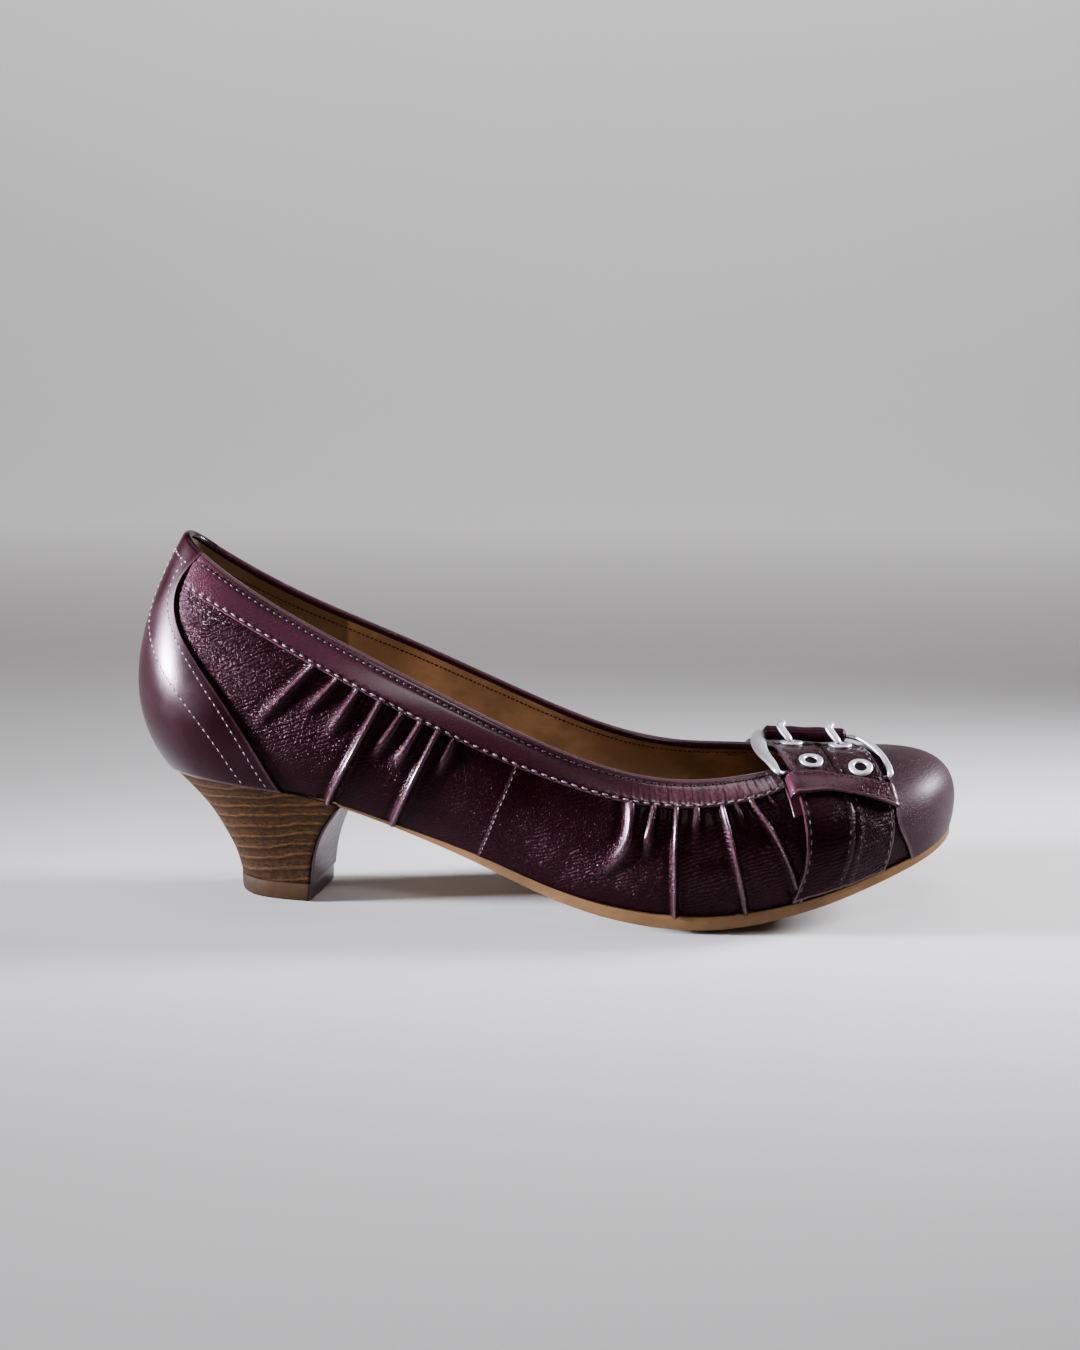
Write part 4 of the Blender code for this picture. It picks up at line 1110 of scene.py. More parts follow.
@once
def thread_material(name, base):
    """Twisted thread."""
    material, tree, shader, vector = new_material(name, 0.6, specular=0.25)
    twist = noise(tree, vector, 1800.0, 3.0)
    share = ramp(tree, twist, 0.35, 0.65)
    feed(shader, "Base Color", mix_colours(tree, share, toned(base, 0.5), tuple(base)))
    feed(shader, "Roughness", ramp(tree, twist, 0.3, 0.7, 0.5, 0.72))
    bump(tree, shader, twist, 0.4, 0.1 * MM)
    return material


@once
def hole_shade_material(name):
    """Near-black plug painted as the shade inside eyelet holes and needle holes."""
    material, tree, shader, vector = new_material(name, 0.8, specular=0.1)
    speck = noise(tree, vector, 1200.0)
    feed(shader, "Base Color", mix_colours(tree, speck, *HOLE_SHADE_TONES))
    feed(shader, "Roughness", ramp(tree, speck, 0.3, 0.7, 0.7, 0.9))
    return material


# Leather pieces


def line_down(path, v):
    """Place along the side, at each height, of a line down the wall."""
    points = np.array(path)
    points = points[np.argsort(points[:, 1])]
    return natural(points[:, 1], points[:, 0])(v)


def folds_at(height):
    """Places along a side of the folds and the side seam at a height."""
    return np.array([float(line_down(line, height)) for line in FOLD_LINES])


def flow_of_folds(u, v):
    """Places whose columns run along the folds: u is the place at the band's edge."""
    edge = folds_at(BAND_EDGE)
    order = np.argsort(edge)
    knots = np.concatenate([[0.0], edge[order], [FOLDS_END, 1.0]])
    rows = []
    for height in v:
        here = np.concatenate([[0.0], folds_at(height)[order], [FOLDS_END, 1.0]])
        rows.append(np.interp(u, knots, here))
    return np.stack(rows, axis=1)


def fold_places():
    """Places along a side, closer together on the folds."""
    close = np.add.outer(folds_at(BAND_EDGE), FOLD_STEPS / SIDE_RUN).ravel()
    kept = [0.0]
    for at in np.sort(np.concatenate([side_places(*UPPER_SPANS), close])):
        if at - kept[-1] > CLOSEST_STEP / SIDE_RUN:
            kept.append(at)
    return np.array(kept[:-1] + [1.0])


def gathers(u, v, strength):
    """Relief of a side's gathers in millimetres, with marks for worn folds with their painted highlights and
    for the painted shade in their hollows.
    """
    relief = np.zeros(u.shape)
    rub = np.zeros(u.shape)
    hollow = np.zeros(u.shape)
    under_band = 1 - smooth(0.0, 0.05, v - band_low(np.clip(u, BAND[0][0], BAND[-1][0])))
    for path, half, height, fade in PLEATS:
        off = (u - line_down(path, v)) * SIDE_RUN
        end = path[-1][1]
        full = smooth(end - fade / 2, end + fade, v) if fade else 1.0
        wide = half * (1 + 0.5 * (1 - smooth(end, end + 2 * fade, v))) if fade else half
        ridge = bell(off, 0.0, RIDGE[0] * wide, RIDGE[1])
        before = bell(off, TROUGH_BEFORE[0] * wide, TROUGH_BEFORE[1] * wide)
        behind = bell(off, -TROUGH_BEHIND[0] * wide, TROUGH_BEHIND[1] * wide)
        section = ridge - TROUGH_BEFORE[2] * before - TROUGH_BEHIND[2] * behind
        relief += strength * height * full * section
        # Worn line along the fold's rear flank, with a painted highlight on it.
        rub = np.maximum(rub, full * bell(off, -WORN_AND_LIT_LINE[0] * wide, WORN_AND_LIT_LINE[1] * wide, WORN_AND_LIT_LINE[2]))
        # Painted shade in the troughs beside the fold.
        hollow = np.maximum(hollow, full * np.maximum(before, 0.6 * behind))
    relief = np.where(relief < 0.0, -TROUGH * np.tanh(-relief / TROUGH), relief)
    return relief * under_band, rub * under_band, hollow * under_band


def wrinkled(u, v):
    """How wrinkled the leather is at a place of a side."""
    value = np.zeros(np.broadcast(u, v).shape)
    for at_u, at_v, reach_u, reach_v, strength in WRINKLES:
        value = np.maximum(value, strength * np.exp(-((u - at_u) / reach_u)**2 - ((v - at_v) / reach_v)**2))
    return value


class PUMP_OT_upper(bpy.types.Operator):
    """Outer leather of the upper with its gathers and side seams"""
    bl_idname = "pump.upper"
    bl_label = "Upper"

    def execute(self, context):
        sizes, colours = context.scene.pump_sizes, context.scene.pump_colours
        v = np.linspace(0.0, 1.0, 42)
        t = both_sides(flow_of_folds(fold_places(), v))
        v = np.broadcast_to(v, t.shape)
        u = along_side(t)
        relief, rub, hollow = gathers(u, v, sizes.gather)
        seam = np.array(SIDE_SEAM)
        off_seam = (u - np.interp(v, seam[:, 1], seam[:, 0])) * SIDE_RUN
        relief = relief + SEAM_LEDGE * plateau(*SEAM_LEDGE_SPAN, off_seam)
        # Worn line along the seam's raised ledge, with a painted highlight on it.
        rub = np.maximum(rub, 0.45 * bell(off_seam, 0.05, 0.30))
        # Painted shadow in the gap beside the toe cap's rear edge, under the strap.
        shade_beside_toe_cap = smooth(0.815, 0.845, u) * (1 - smooth(0.3, 0.5, v))
        hollow = np.maximum(hollow, 0.9 * shade_beside_toe_cap)
        piece = sheet("upper_leather", off_wall(t, v, relief), rub=rub, hollow=hollow, crease=wrinkled(u, v))
        thicken(piece, sizes.leather, -1.0)
        place(piece, "plum_leather", leather_material("gathered plum leather", colours), "upper")
        return {"FINISHED"}


class PUMP_OT_lining(bpy.types.Operator):
    """Lining leather inside the upper, and the insole"""
    bl_idname = "pump.lining"
    bl_label = "Lining and insole"

    def execute(self, context):
        sizes, colours = context.scene.pump_sizes, context.scene.pump_colours
        u = side_places((0.0, 0.2, 20), (0.2, U_THROAT, 60), (U_THROAT, 1.0, 24))
        u = np.unique(np.concatenate([u] + [seam + LINING_STEPS / SIDE_RUN for seam in LINING_SEAMS]))
        t = both_sides(u)
        t, v = np.meshgrid(t, np.linspace(0.0, 0.995, 24), indexing="ij")
        inset = np.full(t.shape, sizes.leather / MM + LINING_GAP)
        for seam in LINING_SEAMS:
            off = (along_side(t) - seam) * SIDE_RUN
            inset += LINING_LEDGE * plateau(*LINING_LEDGE_SPAN, off) * (1 - smooth(0.82, 0.92, v))
        # Behind its first seam the lining's heel piece is darkened: partly its own darker leather, partly
        # painted shade at the back of the shoe.
        heel_piece_shade = 1 - smooth(LINING_SEAMS[0] - 0.004, LINING_SEAMS[0], along_side(t))
        piece = sheet("lining", off_wall(t, v, -inset), hollow=heel_piece_shade)
        thicken(piece, WALL * MM - sizes.leather - LINING_GAP * MM, -1.0)
        tan = tan_leather("lining leather", colours.lining, 0.55, (0.35, 1.0, 1.0))
        place(piece, "lining_leather", tan)

        u = side_places((0.0, 0.12, 14), (0.12, 0.85, 44), (0.85, 1.0, 20))
        lateral = ring_offset(u / 2, np.full(len(u), -INSOLE_INSET))
        medial = ring_offset(1 - u / 2, np.full(len(u), -INSOLE_INSET))
        share = np.linspace(0.0, 1.0, 20)[None, :, None]
        bed = lateral[:, None] * (1 - share) + medial[:, None] * share
        bed[..., 2] = sole_edge(bed[..., 0]) + edge_thickness(bed[..., 0])
        bed[..., 2] += INSOLE_RIM * (2 * share[..., 0] - 1)**4
        piece = sheet("insole_sock", bed, rub=border(bed, 3.0) * 0.5)
        face_outwards(piece)
        thicken(piece, sizes.insole, 1.0, sizes.edge)
        close_ends(piece)
        place(piece, "lining_leather", tan, "insole")
        return {"FINISHED"}


def counter_points(share, s, lift):
    """Points of the counter: share across it from the medial to the lateral front edge."""
    t = share * counter_edge(np.minimum(s, 1.0)) / 2
    return over_topline(t, s, lift)


class PUMP_OT_counter(bpy.types.Operator):
    """Back panel of the upper, rolled over the topline"""
    bl_idname = "pump.counter"
    bl_label = "Counter"

    def execute(self, context):
        sizes, colours = context.scene.pump_sizes, context.scene.pump_colours
        heights = np.concatenate([np.linspace(0.0, 1.0, 48), np.linspace(1.06, 1.92, 8)])
        share, s = np.meshgrid(np.linspace(-1.0, 1.0, 97), heights, indexing="ij")
        points = counter_points(share, s, roll_lift(s))
        crease = 0.05 * smooth(0.45, 0.9, s)
        # Lighter edges: wear, with a painted highlight on the raised front edge and the roll over the
        # topline.
        piece = sheet("counter_panel", points, rub=border(points, 0.9) * 0.8, crease=crease)
        thicken(piece, sizes.counter, 1.0, sizes.edge)
        place(piece, "plum_leather", leather_material("smooth plum leather", colours), "counter")
        return {"FINISHED"}


class PUMP_OT_toe_cap(bpy.types.Operator):
    """Smooth panel over the toe"""
    bl_idname = "pump.toe_cap"
    bl_label = "Toe cap"

    def execute(self, context):
        sizes, colours = context.scene.pump_sizes, context.scene.pump_colours
        c = columns(TOE_CAP_COLUMNS, TOE_CAP)
        v = np.linspace(0.0, 1.0, 44)
        rear_lateral = natural(c["v"], c["lateral"])(v) / 2
        rear_medial = 1 - natural(c["v"], c["medial"])(v) / 2
        share = np.linspace(0.0, 1.0, 45)[:, None]
        lateral = rear_lateral * (1 - share) + 0.5 * share
        medial = 0.5 * (1 - share) + rear_medial * share
        t = np.concatenate([lateral, medial[1:]])
        v = np.broadcast_to(v, t.shape)
        normal = wall_normal(t, v)
        normal[:, -1] = 0.5 * (normal[:, -1] + normal[::-1, -1])
        points = wall(t, v) + normal * 0.2
        rear = np.concatenate([share, share[::-1][1:]]) * np.ones_like(v)
        # Lighter rear edge: wear, with a painted highlight on the cap's raised edge.
        piece = sheet("toe_cap_panel", points, rub=1 - smooth(0.0, 0.05, rear))
        thicken(piece, sizes.toe_cap, 1.0, sizes.edge)
        place(piece, "plum_leather", leather_material("toe leather", colours), "toe_cap")
        return {"FINISHED"}


class PUMP_OT_collar_bands(bpy.types.Operator):
    """Binding bands below the topline, rolled over to the lining"""
    bl_idname = "pump.collar_bands"
    bl_label = "Collar bands"

    def execute(self, context):
        sizes, colours = context.scene.pump_sizes, context.scene.pump_colours
        rise, over = np.linspace(0.0, 1.0, 20), np.linspace(1.08, 1.92, 8)
        for side, span in BAND_SPAN.items():
            u = np.linspace(*span, 560)
            if side == "medial":
                u = u[::-1]
            low = band_low(u)[:, None]
            s = np.concatenate([low * (1 - rise) + rise, np.ones_like(low) * over], axis=1)
            u = np.broadcast_to(u[:, None], s.shape)
            along = u * SIDE_RUN
            height = np.clip((s - low) / (1 - low), 0.0, 1.0)
            pucker = BAND_PUCKER * np.sin(2 * pi * along / PUCKER_RUN) * (1 - smooth(0.0, 0.28, height))
            dents = BAND_DENT * sum(bell(height, middle, reach) for middle, reach in BAND_ROWS.values())
            near_strap = smooth(0.54, 0.64, u)
            wrinkle = np.sin(2.9 * along + 1.6 * np.sin(0.7 * along)) * np.sin(1.1 * along + 2.0 * height)
            upright = 0.11 * near_strap * wrinkle * np.sin(pi * height)
            points = over_topline(side_turn(u, side), s, roll_lift(s) + pucker + upright - dents)
            # Both edges lighter: wear, with a painted highlight on the bead rolled over the topline.
            edge = np.maximum(1 - smooth(0.0, 0.05, height), bell(s, 1.22, 0.26))
            # Painted sheen over the band near the throat, following its upright wrinkles.
            throat_sheen = near_strap * np.sqrt(np.abs(np.sin(pi * height))) * (1.4 + 0.45 * wrinkle)
            piece = sheet("band_" + side, points, rub=np.maximum(0.8 * edge, throat_sheen), crease=0.10)
            thicken(piece, sizes.band, 1.0, sizes.edge)
            place(piece, "band_leather", leather_material("band leather", colours), "collar_band_" + side)
        return {"FINISHED"}


def strap_surface(a, along, lift=0.0):
    """Grid of the strap's underside at places across and along it, lifted off it."""
    grid = np.stack([strap_line(place_across)[0](along) for place_across in a])
    return grid + grid_normals(grid) * np.asarray(lift)[..., None]


def strap_relief(a, along):
    """Relief of the strap: the seam between its halves and soft cross folds."""
    a = a[:, None]
    off = (a - 0.5) * STRAP_WIDTH
    open_seam = plateau(*OPEN_SEAM, along)
    groove = -(0.65 + 0.35 * open_seam) * bell(off, 0.0, 0.45 + 0.25 * open_seam)
    lips = 0.22 * bell(np.abs(off), 1.5, 0.9)
    fold = np.sin(along * 95 + 4.0 * np.sin(a * 7.0)) * np.sin(along * 41 + 9.0 * a)
    bead = 0.30 * bell(a * STRAP_WIDTH, 0.0, 0.9)
    return groove + lips + bead + 0.10 * fold


class PUMP_OT_strap(bpy.types.Operator):
    """Broad strap of two halves joined by a seam"""
    bl_idname = "pump.strap"
    bl_label = "Strap"

    def execute(self, context):
        sizes, colours = context.scene.pump_sizes, context.scene.pump_colours
        a = np.linspace(0.0, 1.0, 81)
        along = np.linspace(0.0, 1.0, 130)
        points = strap_surface(a, along, strap_relief(a, along))
        off = np.abs(a - 0.5)[:, None] * STRAP_WIDTH
        # Painted sheen on the strap's crest.
        crest = 0.40 * plateau(*SHEEN_ON_CREST, along) * smooth(0.8, 2.2, off)
        # Lighter edges from wear, and a painted highlight on the lips of the middle seam.
        rub = np.maximum(border(points, 0.8), np.maximum(crest, 0.12 * bell(off, 1.3, 0.6)))
        # Painted shade in the groove of the middle seam.
        piece = sheet("strap_leather", points, rub=rub, hollow=bell(off, 0.0, 0.7))
        thicken(piece, STRAP_THICKNESS * MM, 1.0, sizes.edge)
        place(piece, "plum_leather", leather_material("strap leather", colours), "strap")
        return {"FINISHED"}


def keeper_points(a, share, lift=0.0):
    """Points of the keeper's underside, or lifted off it, wrapping down beside the strap's edges."""
    past = np.clip((np.abs(a - 0.5) - 0.5) / (KEEPER_SPAN[1] - 1.0), 0.0, 1.0)
    drop = (KEEPER_LIFT - 0.2) * (1 - np.sqrt(1 - past**2))
    return strap_on_wall(a, share, "lateral", KEEPER_LIFT + lift - drop)


def keeper_share(a, height):
    """Share up the strap of a height on the keeper."""
    c = columns(KEEPER_COLUMNS, KEEPER)
    a = np.clip(a, 0.0, 1.0)
    low, high = natural(c["across"], c["low"])(a), natural(c["across"], c["top"])(a)
    return low + (high - low) * height


class PUMP_OT_keeper(bpy.types.Operator):
    """Leather loop that holds the strap down"""
    bl_idname = "pump.keeper"
    bl_label = "Keeper"

    def execute(self, context):
        sizes, colours = context.scene.pump_sizes, context.scene.pump_colours
        bend = np.sin(np.linspace(0.0, pi / 2, 9)) * (KEEPER_SPAN[1] - 1.0)
        a = np.concatenate([-bend[:0:-1], np.linspace(0.0, 1.0, 72), 1.0 + bend[1:]])
        a, height = np.meshgrid(a, np.linspace(0.0, 1.0, 22), indexing="ij")
        lip = 0.35 * bell(height, 0.0, 0.09)
        points = keeper_points(a, keeper_share(a, height), 0.25 * (1 - (2 * height - 1)**2) + lip)
        # Painted sheen over the whole keeper, lighter still at its worn edges.
        piece = sheet("keeper_loop", points, rub=np.maximum(border(points, 0.9), 0.28), crease=0.08)
        thicken(piece, sizes.keeper, 1.0, sizes.edge * 1.3)
        place(piece, "band_leather", leather_material("band leather", colours), "keeper")

        v = np.linspace(*TAIL_SPAN, 30)
        rear = np.interp(v, *np.array(STRAP["lateral"])[:, :2].T)
        share = np.linspace(0.0, 1.0, 9)
        u = rear[:, None] + TAIL_REACH[0] + (TAIL_REACH[1] - TAIL_REACH[0]) * share
        v = np.broadcast_to(v[:, None], u.shape)
        points = off_wall(side_turn(u, "lateral"), v, TAIL_LIFT)[::-1]
        tail = sheet("keeper_tail", points, rub=border(points, 0.6))
        thicken(tail, TAIL_THICKNESS * MM, 1.0, sizes.edge)
        place(tail, "band_leather", leather_material("band leather", colours))
        return {"FINISHED"}


class PUMP_OT_buckle(bpy.types.Operator):
    """Pewter frame, its leather roll and the two prongs"""
    bl_idname = "pump.buckle"
    bl_label = "Buckle"

    def execute(self, context):
        colours = context.scene.pump_colours
        pewter = pewter_material("pewter", colours)
        c = columns(FRAME_COLUMNS, FRAME)
        near = columns(NEAR_BAR_COLUMNS, NEAR_BAR)
        bar_points = off_wall(side_turn(near["u"], "lateral"), near["v"], near["lift"])
        path = np.concatenate([np.stack([c["x"], c["y"], c["z"]], -1), bar_points])
        wide = np.concatenate([c["wide"], np.full(len(bar_points), NEAR_BAR_SIZE[0])])
        high = np.concatenate([c["high"], np.full(len(bar_points), NEAR_BAR_SIZE[1])])
        rows = np.column_stack([path, wide, high])
        count = len(rows)
        spline = natural(np.arange(-count, 2 * count), np.tile(rows, (3, 1)))
        fine = spline(np.linspace(0, count, 150, endpoint=False))
        frame_piece = bar("buckle_pewter", fine[:, :3], fine[:, 3], fine[:, 4], sides=24, loop=True)
        place(frame_piece, "pewter", pewter, "buckle_frame", sharp=60.0)

        start, end = np.array(SLEEVE_ENDS)
        share = np.linspace(0.0, 1.0, 40)
        radius = SLEEVE_RADIUS * (1 + 0.05 * np.cos(share * 2 * pi * 3) * np.sin(share * pi))
        ends = np.concatenate([[0.35, 0.8], radius[2:-2] / SLEEVE_RADIUS, [0.8, 0.35]]) * SLEEVE_RADIUS * 2
        path = start + (end - start) * share[:, None]
        roll = bar("roll_leather", path, ends, ends, sides=28)
        place(roll, "band_leather", leather_material("band leather", colours), "bar_sleeve", sharp=60.0)

        axis = unit(end - start)
        up = np.array((0.0, 0.0, 1.0))
        side = np.cross(up, axis)
        reach = SLEEVE_RADIUS + PRONG_RADIUS
        for half, eyelet in PRONG_EYELETS.items():
            foot, _, _, out = strap_frame(*eyelet)
            foot = foot + out * PRONG_RADIUS * 0.6
            middle = start + axis * (np.dot(foot - start, axis) - PRONG_SET_BACK)
            bends = [cos(radians(angle)) * side + sin(radians(angle)) * up for angle in PRONG_ANGLES]
            path = np.array([foot] + [middle + reach * bend for bend in bends])
            path = natural(np.linspace(0, 1, len(path)), path)(np.linspace(0, 1, 60))
            taper = np.sqrt(np.clip(1 - (2 * np.abs(np.linspace(0, 1, 60) - 0.5))**24, 0.02, 1.0))
            size = 2 * PRONG_RADIUS * taper
            prong = bar("prong_pewter_" + half, path, size * 1.25, size * 0.95, sides=18)
            place(prong, "pewter", pewter, "prong_" + half, sharp=60.0)
        return {"FINISHED"}


def on_strap(eyelet, turn, radius, rise):
    """Rings of points that follow the strap's outer face round an eyelet's middle."""
    a, fold = eyelet
    middle, across, run, out = strap_frame(a, fold)
    reach = np.linspace(-1.0, 1.0, 21)
    near = []
    for place_across in a + reach * EYELET_PATCH / STRAP_WIDTH:
        curve, knots = strap_line(place_across)
        near.append(curve(np.interp(fold, np.arange(len(knots)), knots) + reach * EYELET_RUN))
    near = np.array(near).reshape(-1, 3) + out * STRAP_THICKNESS - middle
    x, y = np.outer(np.cos(turn), radius), np.outer(np.sin(turn), radius)
    gap = (x[..., None] - near @ across)**2 + (y[..., None] - near @ run)**2
    weight = 1 / (gap + 0.03)**2
    lift = (weight @ (near @ out)) / weight.sum(axis=-1)
    return middle + x[..., None] * across + y[..., None] * run + (lift + rise)[..., None] * out


class PUMP_OT_eyelets(bpy.types.Operator):
    """Silver eyelet rims in the strap, each with a dark plug painted as the shade in its hole"""
    bl_idname = "pump.eyelets"
    bl_label = "Eyelets"

    def execute(self, context):
        colours = context.scene.pump_colours
        pewter = pewter_material("pewter", colours)
        section = 2 * pi * np.linspace(0.0, 1.0, 17)
        turn = 2 * pi * np.linspace(0.0, 1.0, 49)
        for name, eyelets in (("eyelet_", EYELETS), ("eyelet_prong_", PRONG_EYELETS)):
            for half, eyelet in eyelets.items():
                radius = RIM_RADIUS + RIM_HALF_WIDTH * np.cos(section)
                rise = RIM_RISE + RIM_HALF_HEIGHT * np.sin(section)
                rim = sheet(name + half + "_rim", on_strap(eyelet, turn, radius, rise))
                face_outwards(rim)
                place(rim, "pewter", pewter, name + half, sharp=60.0)
                hole = sheet(name + half + "_hole", on_strap(eyelet, turn, *HOLE_RINGS.T))
                face_outwards(hole)
                place(hole, "plum_leather", hole_shade_material("eyelet hole"))
        return {"FINISHED"}


class PUMP_OT_sole(bpy.types.Operator):
    """Tan sole from the heel's breast to the toe"""
    bl_idname = "pump.sole"
    bl_label = "Sole"

    def execute(self, context):
        sizes, colours = context.scene.pump_sizes, context.scene.pump_colours
        u = side_places((SOLE_START, 0.85, 80), (0.85, 0.97, 30), (0.97, 1.0, 14))
        across = np.linspace(0.0, 1.0, 26)
        reach = SOLE_EDGE_REACH * smooth(*SOLE_EDGE_SPAN, u)
        lateral = ring_offset(u / 2, reach)[:, None]
        medial = ring_offset(1 - u / 2, reach)[:, None]
        grid = lateral * (1 - across[None, :, None]) + medial * across[None, :, None]
        x = grid[..., 0]
        upper_face = grid.copy()
        upper_face[..., 2] = sole_edge(x) + edge_thickness(x) - JOIN_GAP
        bow = 1 - (2 * across - 1)**2
        crown = SOLE_CROWN * plateau(*SOLE_CROWN_SPAN, x) * bow[None, :]
        lower_face = grid.copy()
        lower_face[..., 2] = np.maximum(sole_edge(x) - crown, 0.0)
        rings = np.concatenate([upper_face, lower_face[:, ::-1]], axis=1)
        piece = loft("sole_leather", rings)
        round_edges(piece, sizes.edge * 1.2)
        tan = tan_leather("sole leather", colours.sole, 0.58, (0.5, 1.0, 1.0))
        place(piece, "tan_sole", tan, "outsole")
        return {"FINISHED"}


def heel_ring(row, top_height):
    """Section of the heel: the seat's outline drawn in to the row's back, front, width and turn."""
    u = side_places((U_BREAST, 0.2, 8), (0.2, 0.0, 28))
    t = both_sides(u)
    seat = ring_offset(t, np.full(len(t), SEAT_REACH))
    back, front = seat[:, 0].min(), seat[:, 0].max()
    share = (seat[:, 0] - back) / (front - back)
    middle_y = 0.5 * (seat[0, 1] + seat[-1, 1])
    x = row["back"] + share * (row["front"] - row["back"])
    y = (seat[:, 1] - middle_y) * row["width"]
    pivot = 0.5 * (row["back"] + row["front"])
    turn = radians(row["turn"])
    ring = seat.copy()
    ring[:, 0] = pivot + (x - pivot) * cos(turn) - y * sin(turn)
    ring[:, 1] = middle_y * (1 - row["drop"]) + (x - pivot) * sin(turn) + y * cos(turn)
    ring[:, 2] = (seat[:, 2] - JOIN_GAP) * (1 - row["drop"]) + top_height * row["drop"]
    return ring


class PUMP_OT_heel(bpy.types.Operator):
    """Stacked heel, its front cover and the top lift"""
    bl_idname = "pump.heel"
    bl_label = "Heel"

    def execute(self, context):
        sizes, colours = context.scene.pump_sizes, context.scene.pump_colours
        c = columns(HEEL_COLUMNS, HEEL)
        drops = np.linspace(0.0, 1.0, 34)
        rows = [{name: float(natural(c["drop"], c[name])(drop)) for name in HEEL_COLUMNS} for drop in drops]
        rings = np.array([heel_ring(row, LIFT_HEIGHT + JOIN_GAP) for row in rows])
        heel = loft("heel_stack", rings)
        round_edges(heel, sizes.edge, segments=2)
        place(heel, "stacked_leather", stack_leather("stacked leather", colours, sizes.layer), "heel")

        lift_rings = []
        for height, spread in LIFT_RINGS:
            ring = heel_ring(rows[-1], 0.0)
            middle = ring.mean(axis=0)
            ring = middle + (ring - middle) * spread
            ring[:, 2] = height
            lift_rings.append(ring)
        lift = loft("lift_plate", np.array(lift_rings))
        round_edges(lift, sizes.edge, segments=2)
        tan = tan_leather("lift rubber", colours.lift, 0.62, (1.0, 1.0, 0.5))
        place(lift, "tan_sole", tan, "top_lift")

        drop = np.linspace(*BREAST_SPAN, 40)
        edges = np.stack([natural(drops, rings[:, corner])(drop) for corner in (0, -1)], 1)
        share = np.linspace(*BREAST_WIDTH, 20)[None, :, None]
        points = edges[:, :1] * (1 - share) + edges[:, 1:] * share
        points[..., 0] += JOIN_GAP
        cover = sheet("breast_cover", points)
        thicken(cover, BREAST_THICKNESS * MM, 1.0, sizes.edge)
        place(cover, "breast_cover", breast_material("breast cover", colours), "heel_breast")
        # The lift's front face has the cover's look.
        lift.data.materials.append(cover.data.materials[0])
        for face in lift.data.polygons:
            if face.normal.x > 0.8:
                face.material_index = 1
        return {"FINISHED"}


# Stitching


def stitch_shape():
    """One stitch along X, a millimetre long and thick: a round bead drawn out, with its ends let down."""
    bpy.ops.object.select_all(action="DESELECT")
    bpy.ops.mesh.primitive_uv_sphere_add(segments=8, ring_count=6, radius=0.5)
    bead = bpy.context.object
    points = np.array([vertex.co for vertex in bead.data.vertices])
    points = points[:, (2, 1, 0)] * (1.0, 1.0, -1.0)
    points[:, 2] -= 0.55 * (2 * np.abs(points[:, 0]))**3
    faces = [tuple(face.vertices) for face in bead.data.polygons]
    bpy.data.objects.remove(bead)
    return points, faces


def along_line(line, step, where):
    """Point of a line of points at a distance along it."""
    return np.array([np.interp(where, step, line[:, k]) for k in range(3)])


def stitch_row(name, line, normals, kind, material, slot, face=0.0):
    """Row of stitches along a line of points, with a dark disc painted as the shade of a pinhole at each end
    of a stitch.

    face is the height of the leather's face above the line.
    """
    sizes = bpy.context.scene.pump_sizes
    pitch, length, radius = np.array(STITCHES[kind]) * (1.0, sizes.stitch / MM, sizes.thread / MM)
    bead, bead_faces = stitch_shape()
    ring = [(cos(angle), sin(angle), 0.0) for angle in np.arange(6) * pi / 3]
    pit = np.array(ring + [(0.0, 0.0, -1.0)]) * (PIT_SIZE * radius) + (0.0, 0.0, face + PIT_RISE)
    pit_faces = [(0, 1, 2, 3, 4, 5)] + [((i + 1) % 6, i, 6) for i in range(6)]
    step = np.concatenate([[0.0], np.cumsum(np.linalg.norm(np.diff(line, axis=0), axis=1))])
    count = max(int(step[-1] / pitch), 1)
    pitch = step[-1] / count
    beads, pits = [], []
    for i in range(count):
        middle = (i + 0.5) * pitch
        reach = length / 2 * (1 + LENGTH_DRIFT[0] * sin(LENGTH_DRIFT[1] * i))
        run = unit(along_line(line, step, middle + reach) - along_line(line, step, middle - reach))
        out = along_line(normals, step, middle)
        run = unit(run + unit(np.cross(out, run)) * TURN_DRIFT[0] * sin(TURN_DRIFT[1] * i))
        side = unit(np.cross(out, run))
        turned = np.stack([run, side, np.cross(run, side)])
        beads.append(along_line(line, step, middle) + bead * (2 * reach, 2 * radius, 2 * radius) @ turned)
        pits.append(along_line(line, step, middle - pitch / 2) + pit @ turned)
    for suffix, shapes, faces, look in (
        ("", beads, bead_faces, material),
        ("_holes", pits, pit_faces, hole_shade_material("eyelet hole")),
    ):
        polygons = [tuple(corner + i * len(shapes[0]) for corner in corners)
                    for i in range(count) for corners in faces]
        mesh = bpy.data.meshes.new(name + suffix)
        mesh.from_pydata(real(np.concatenate(shapes)).tolist(), [], polygons)
        piece = bpy.data.objects.new(name + suffix, mesh)
        bpy.context.scene.collection.objects.link(piece)
        face_outwards(piece)
        place(piece, slot, look, sharp=80.0)


def wall_row(name, t, v, lift, *settings, inside=False, face=0.0):
    """Row of stitches that stands off the upper's outer face, or off it to the inside."""
    out = -wall_normal(t, v) if inside else wall_normal(t, v)
    stitch_row(name, wall(t, v) + out * lift, out, *settings, face=face)


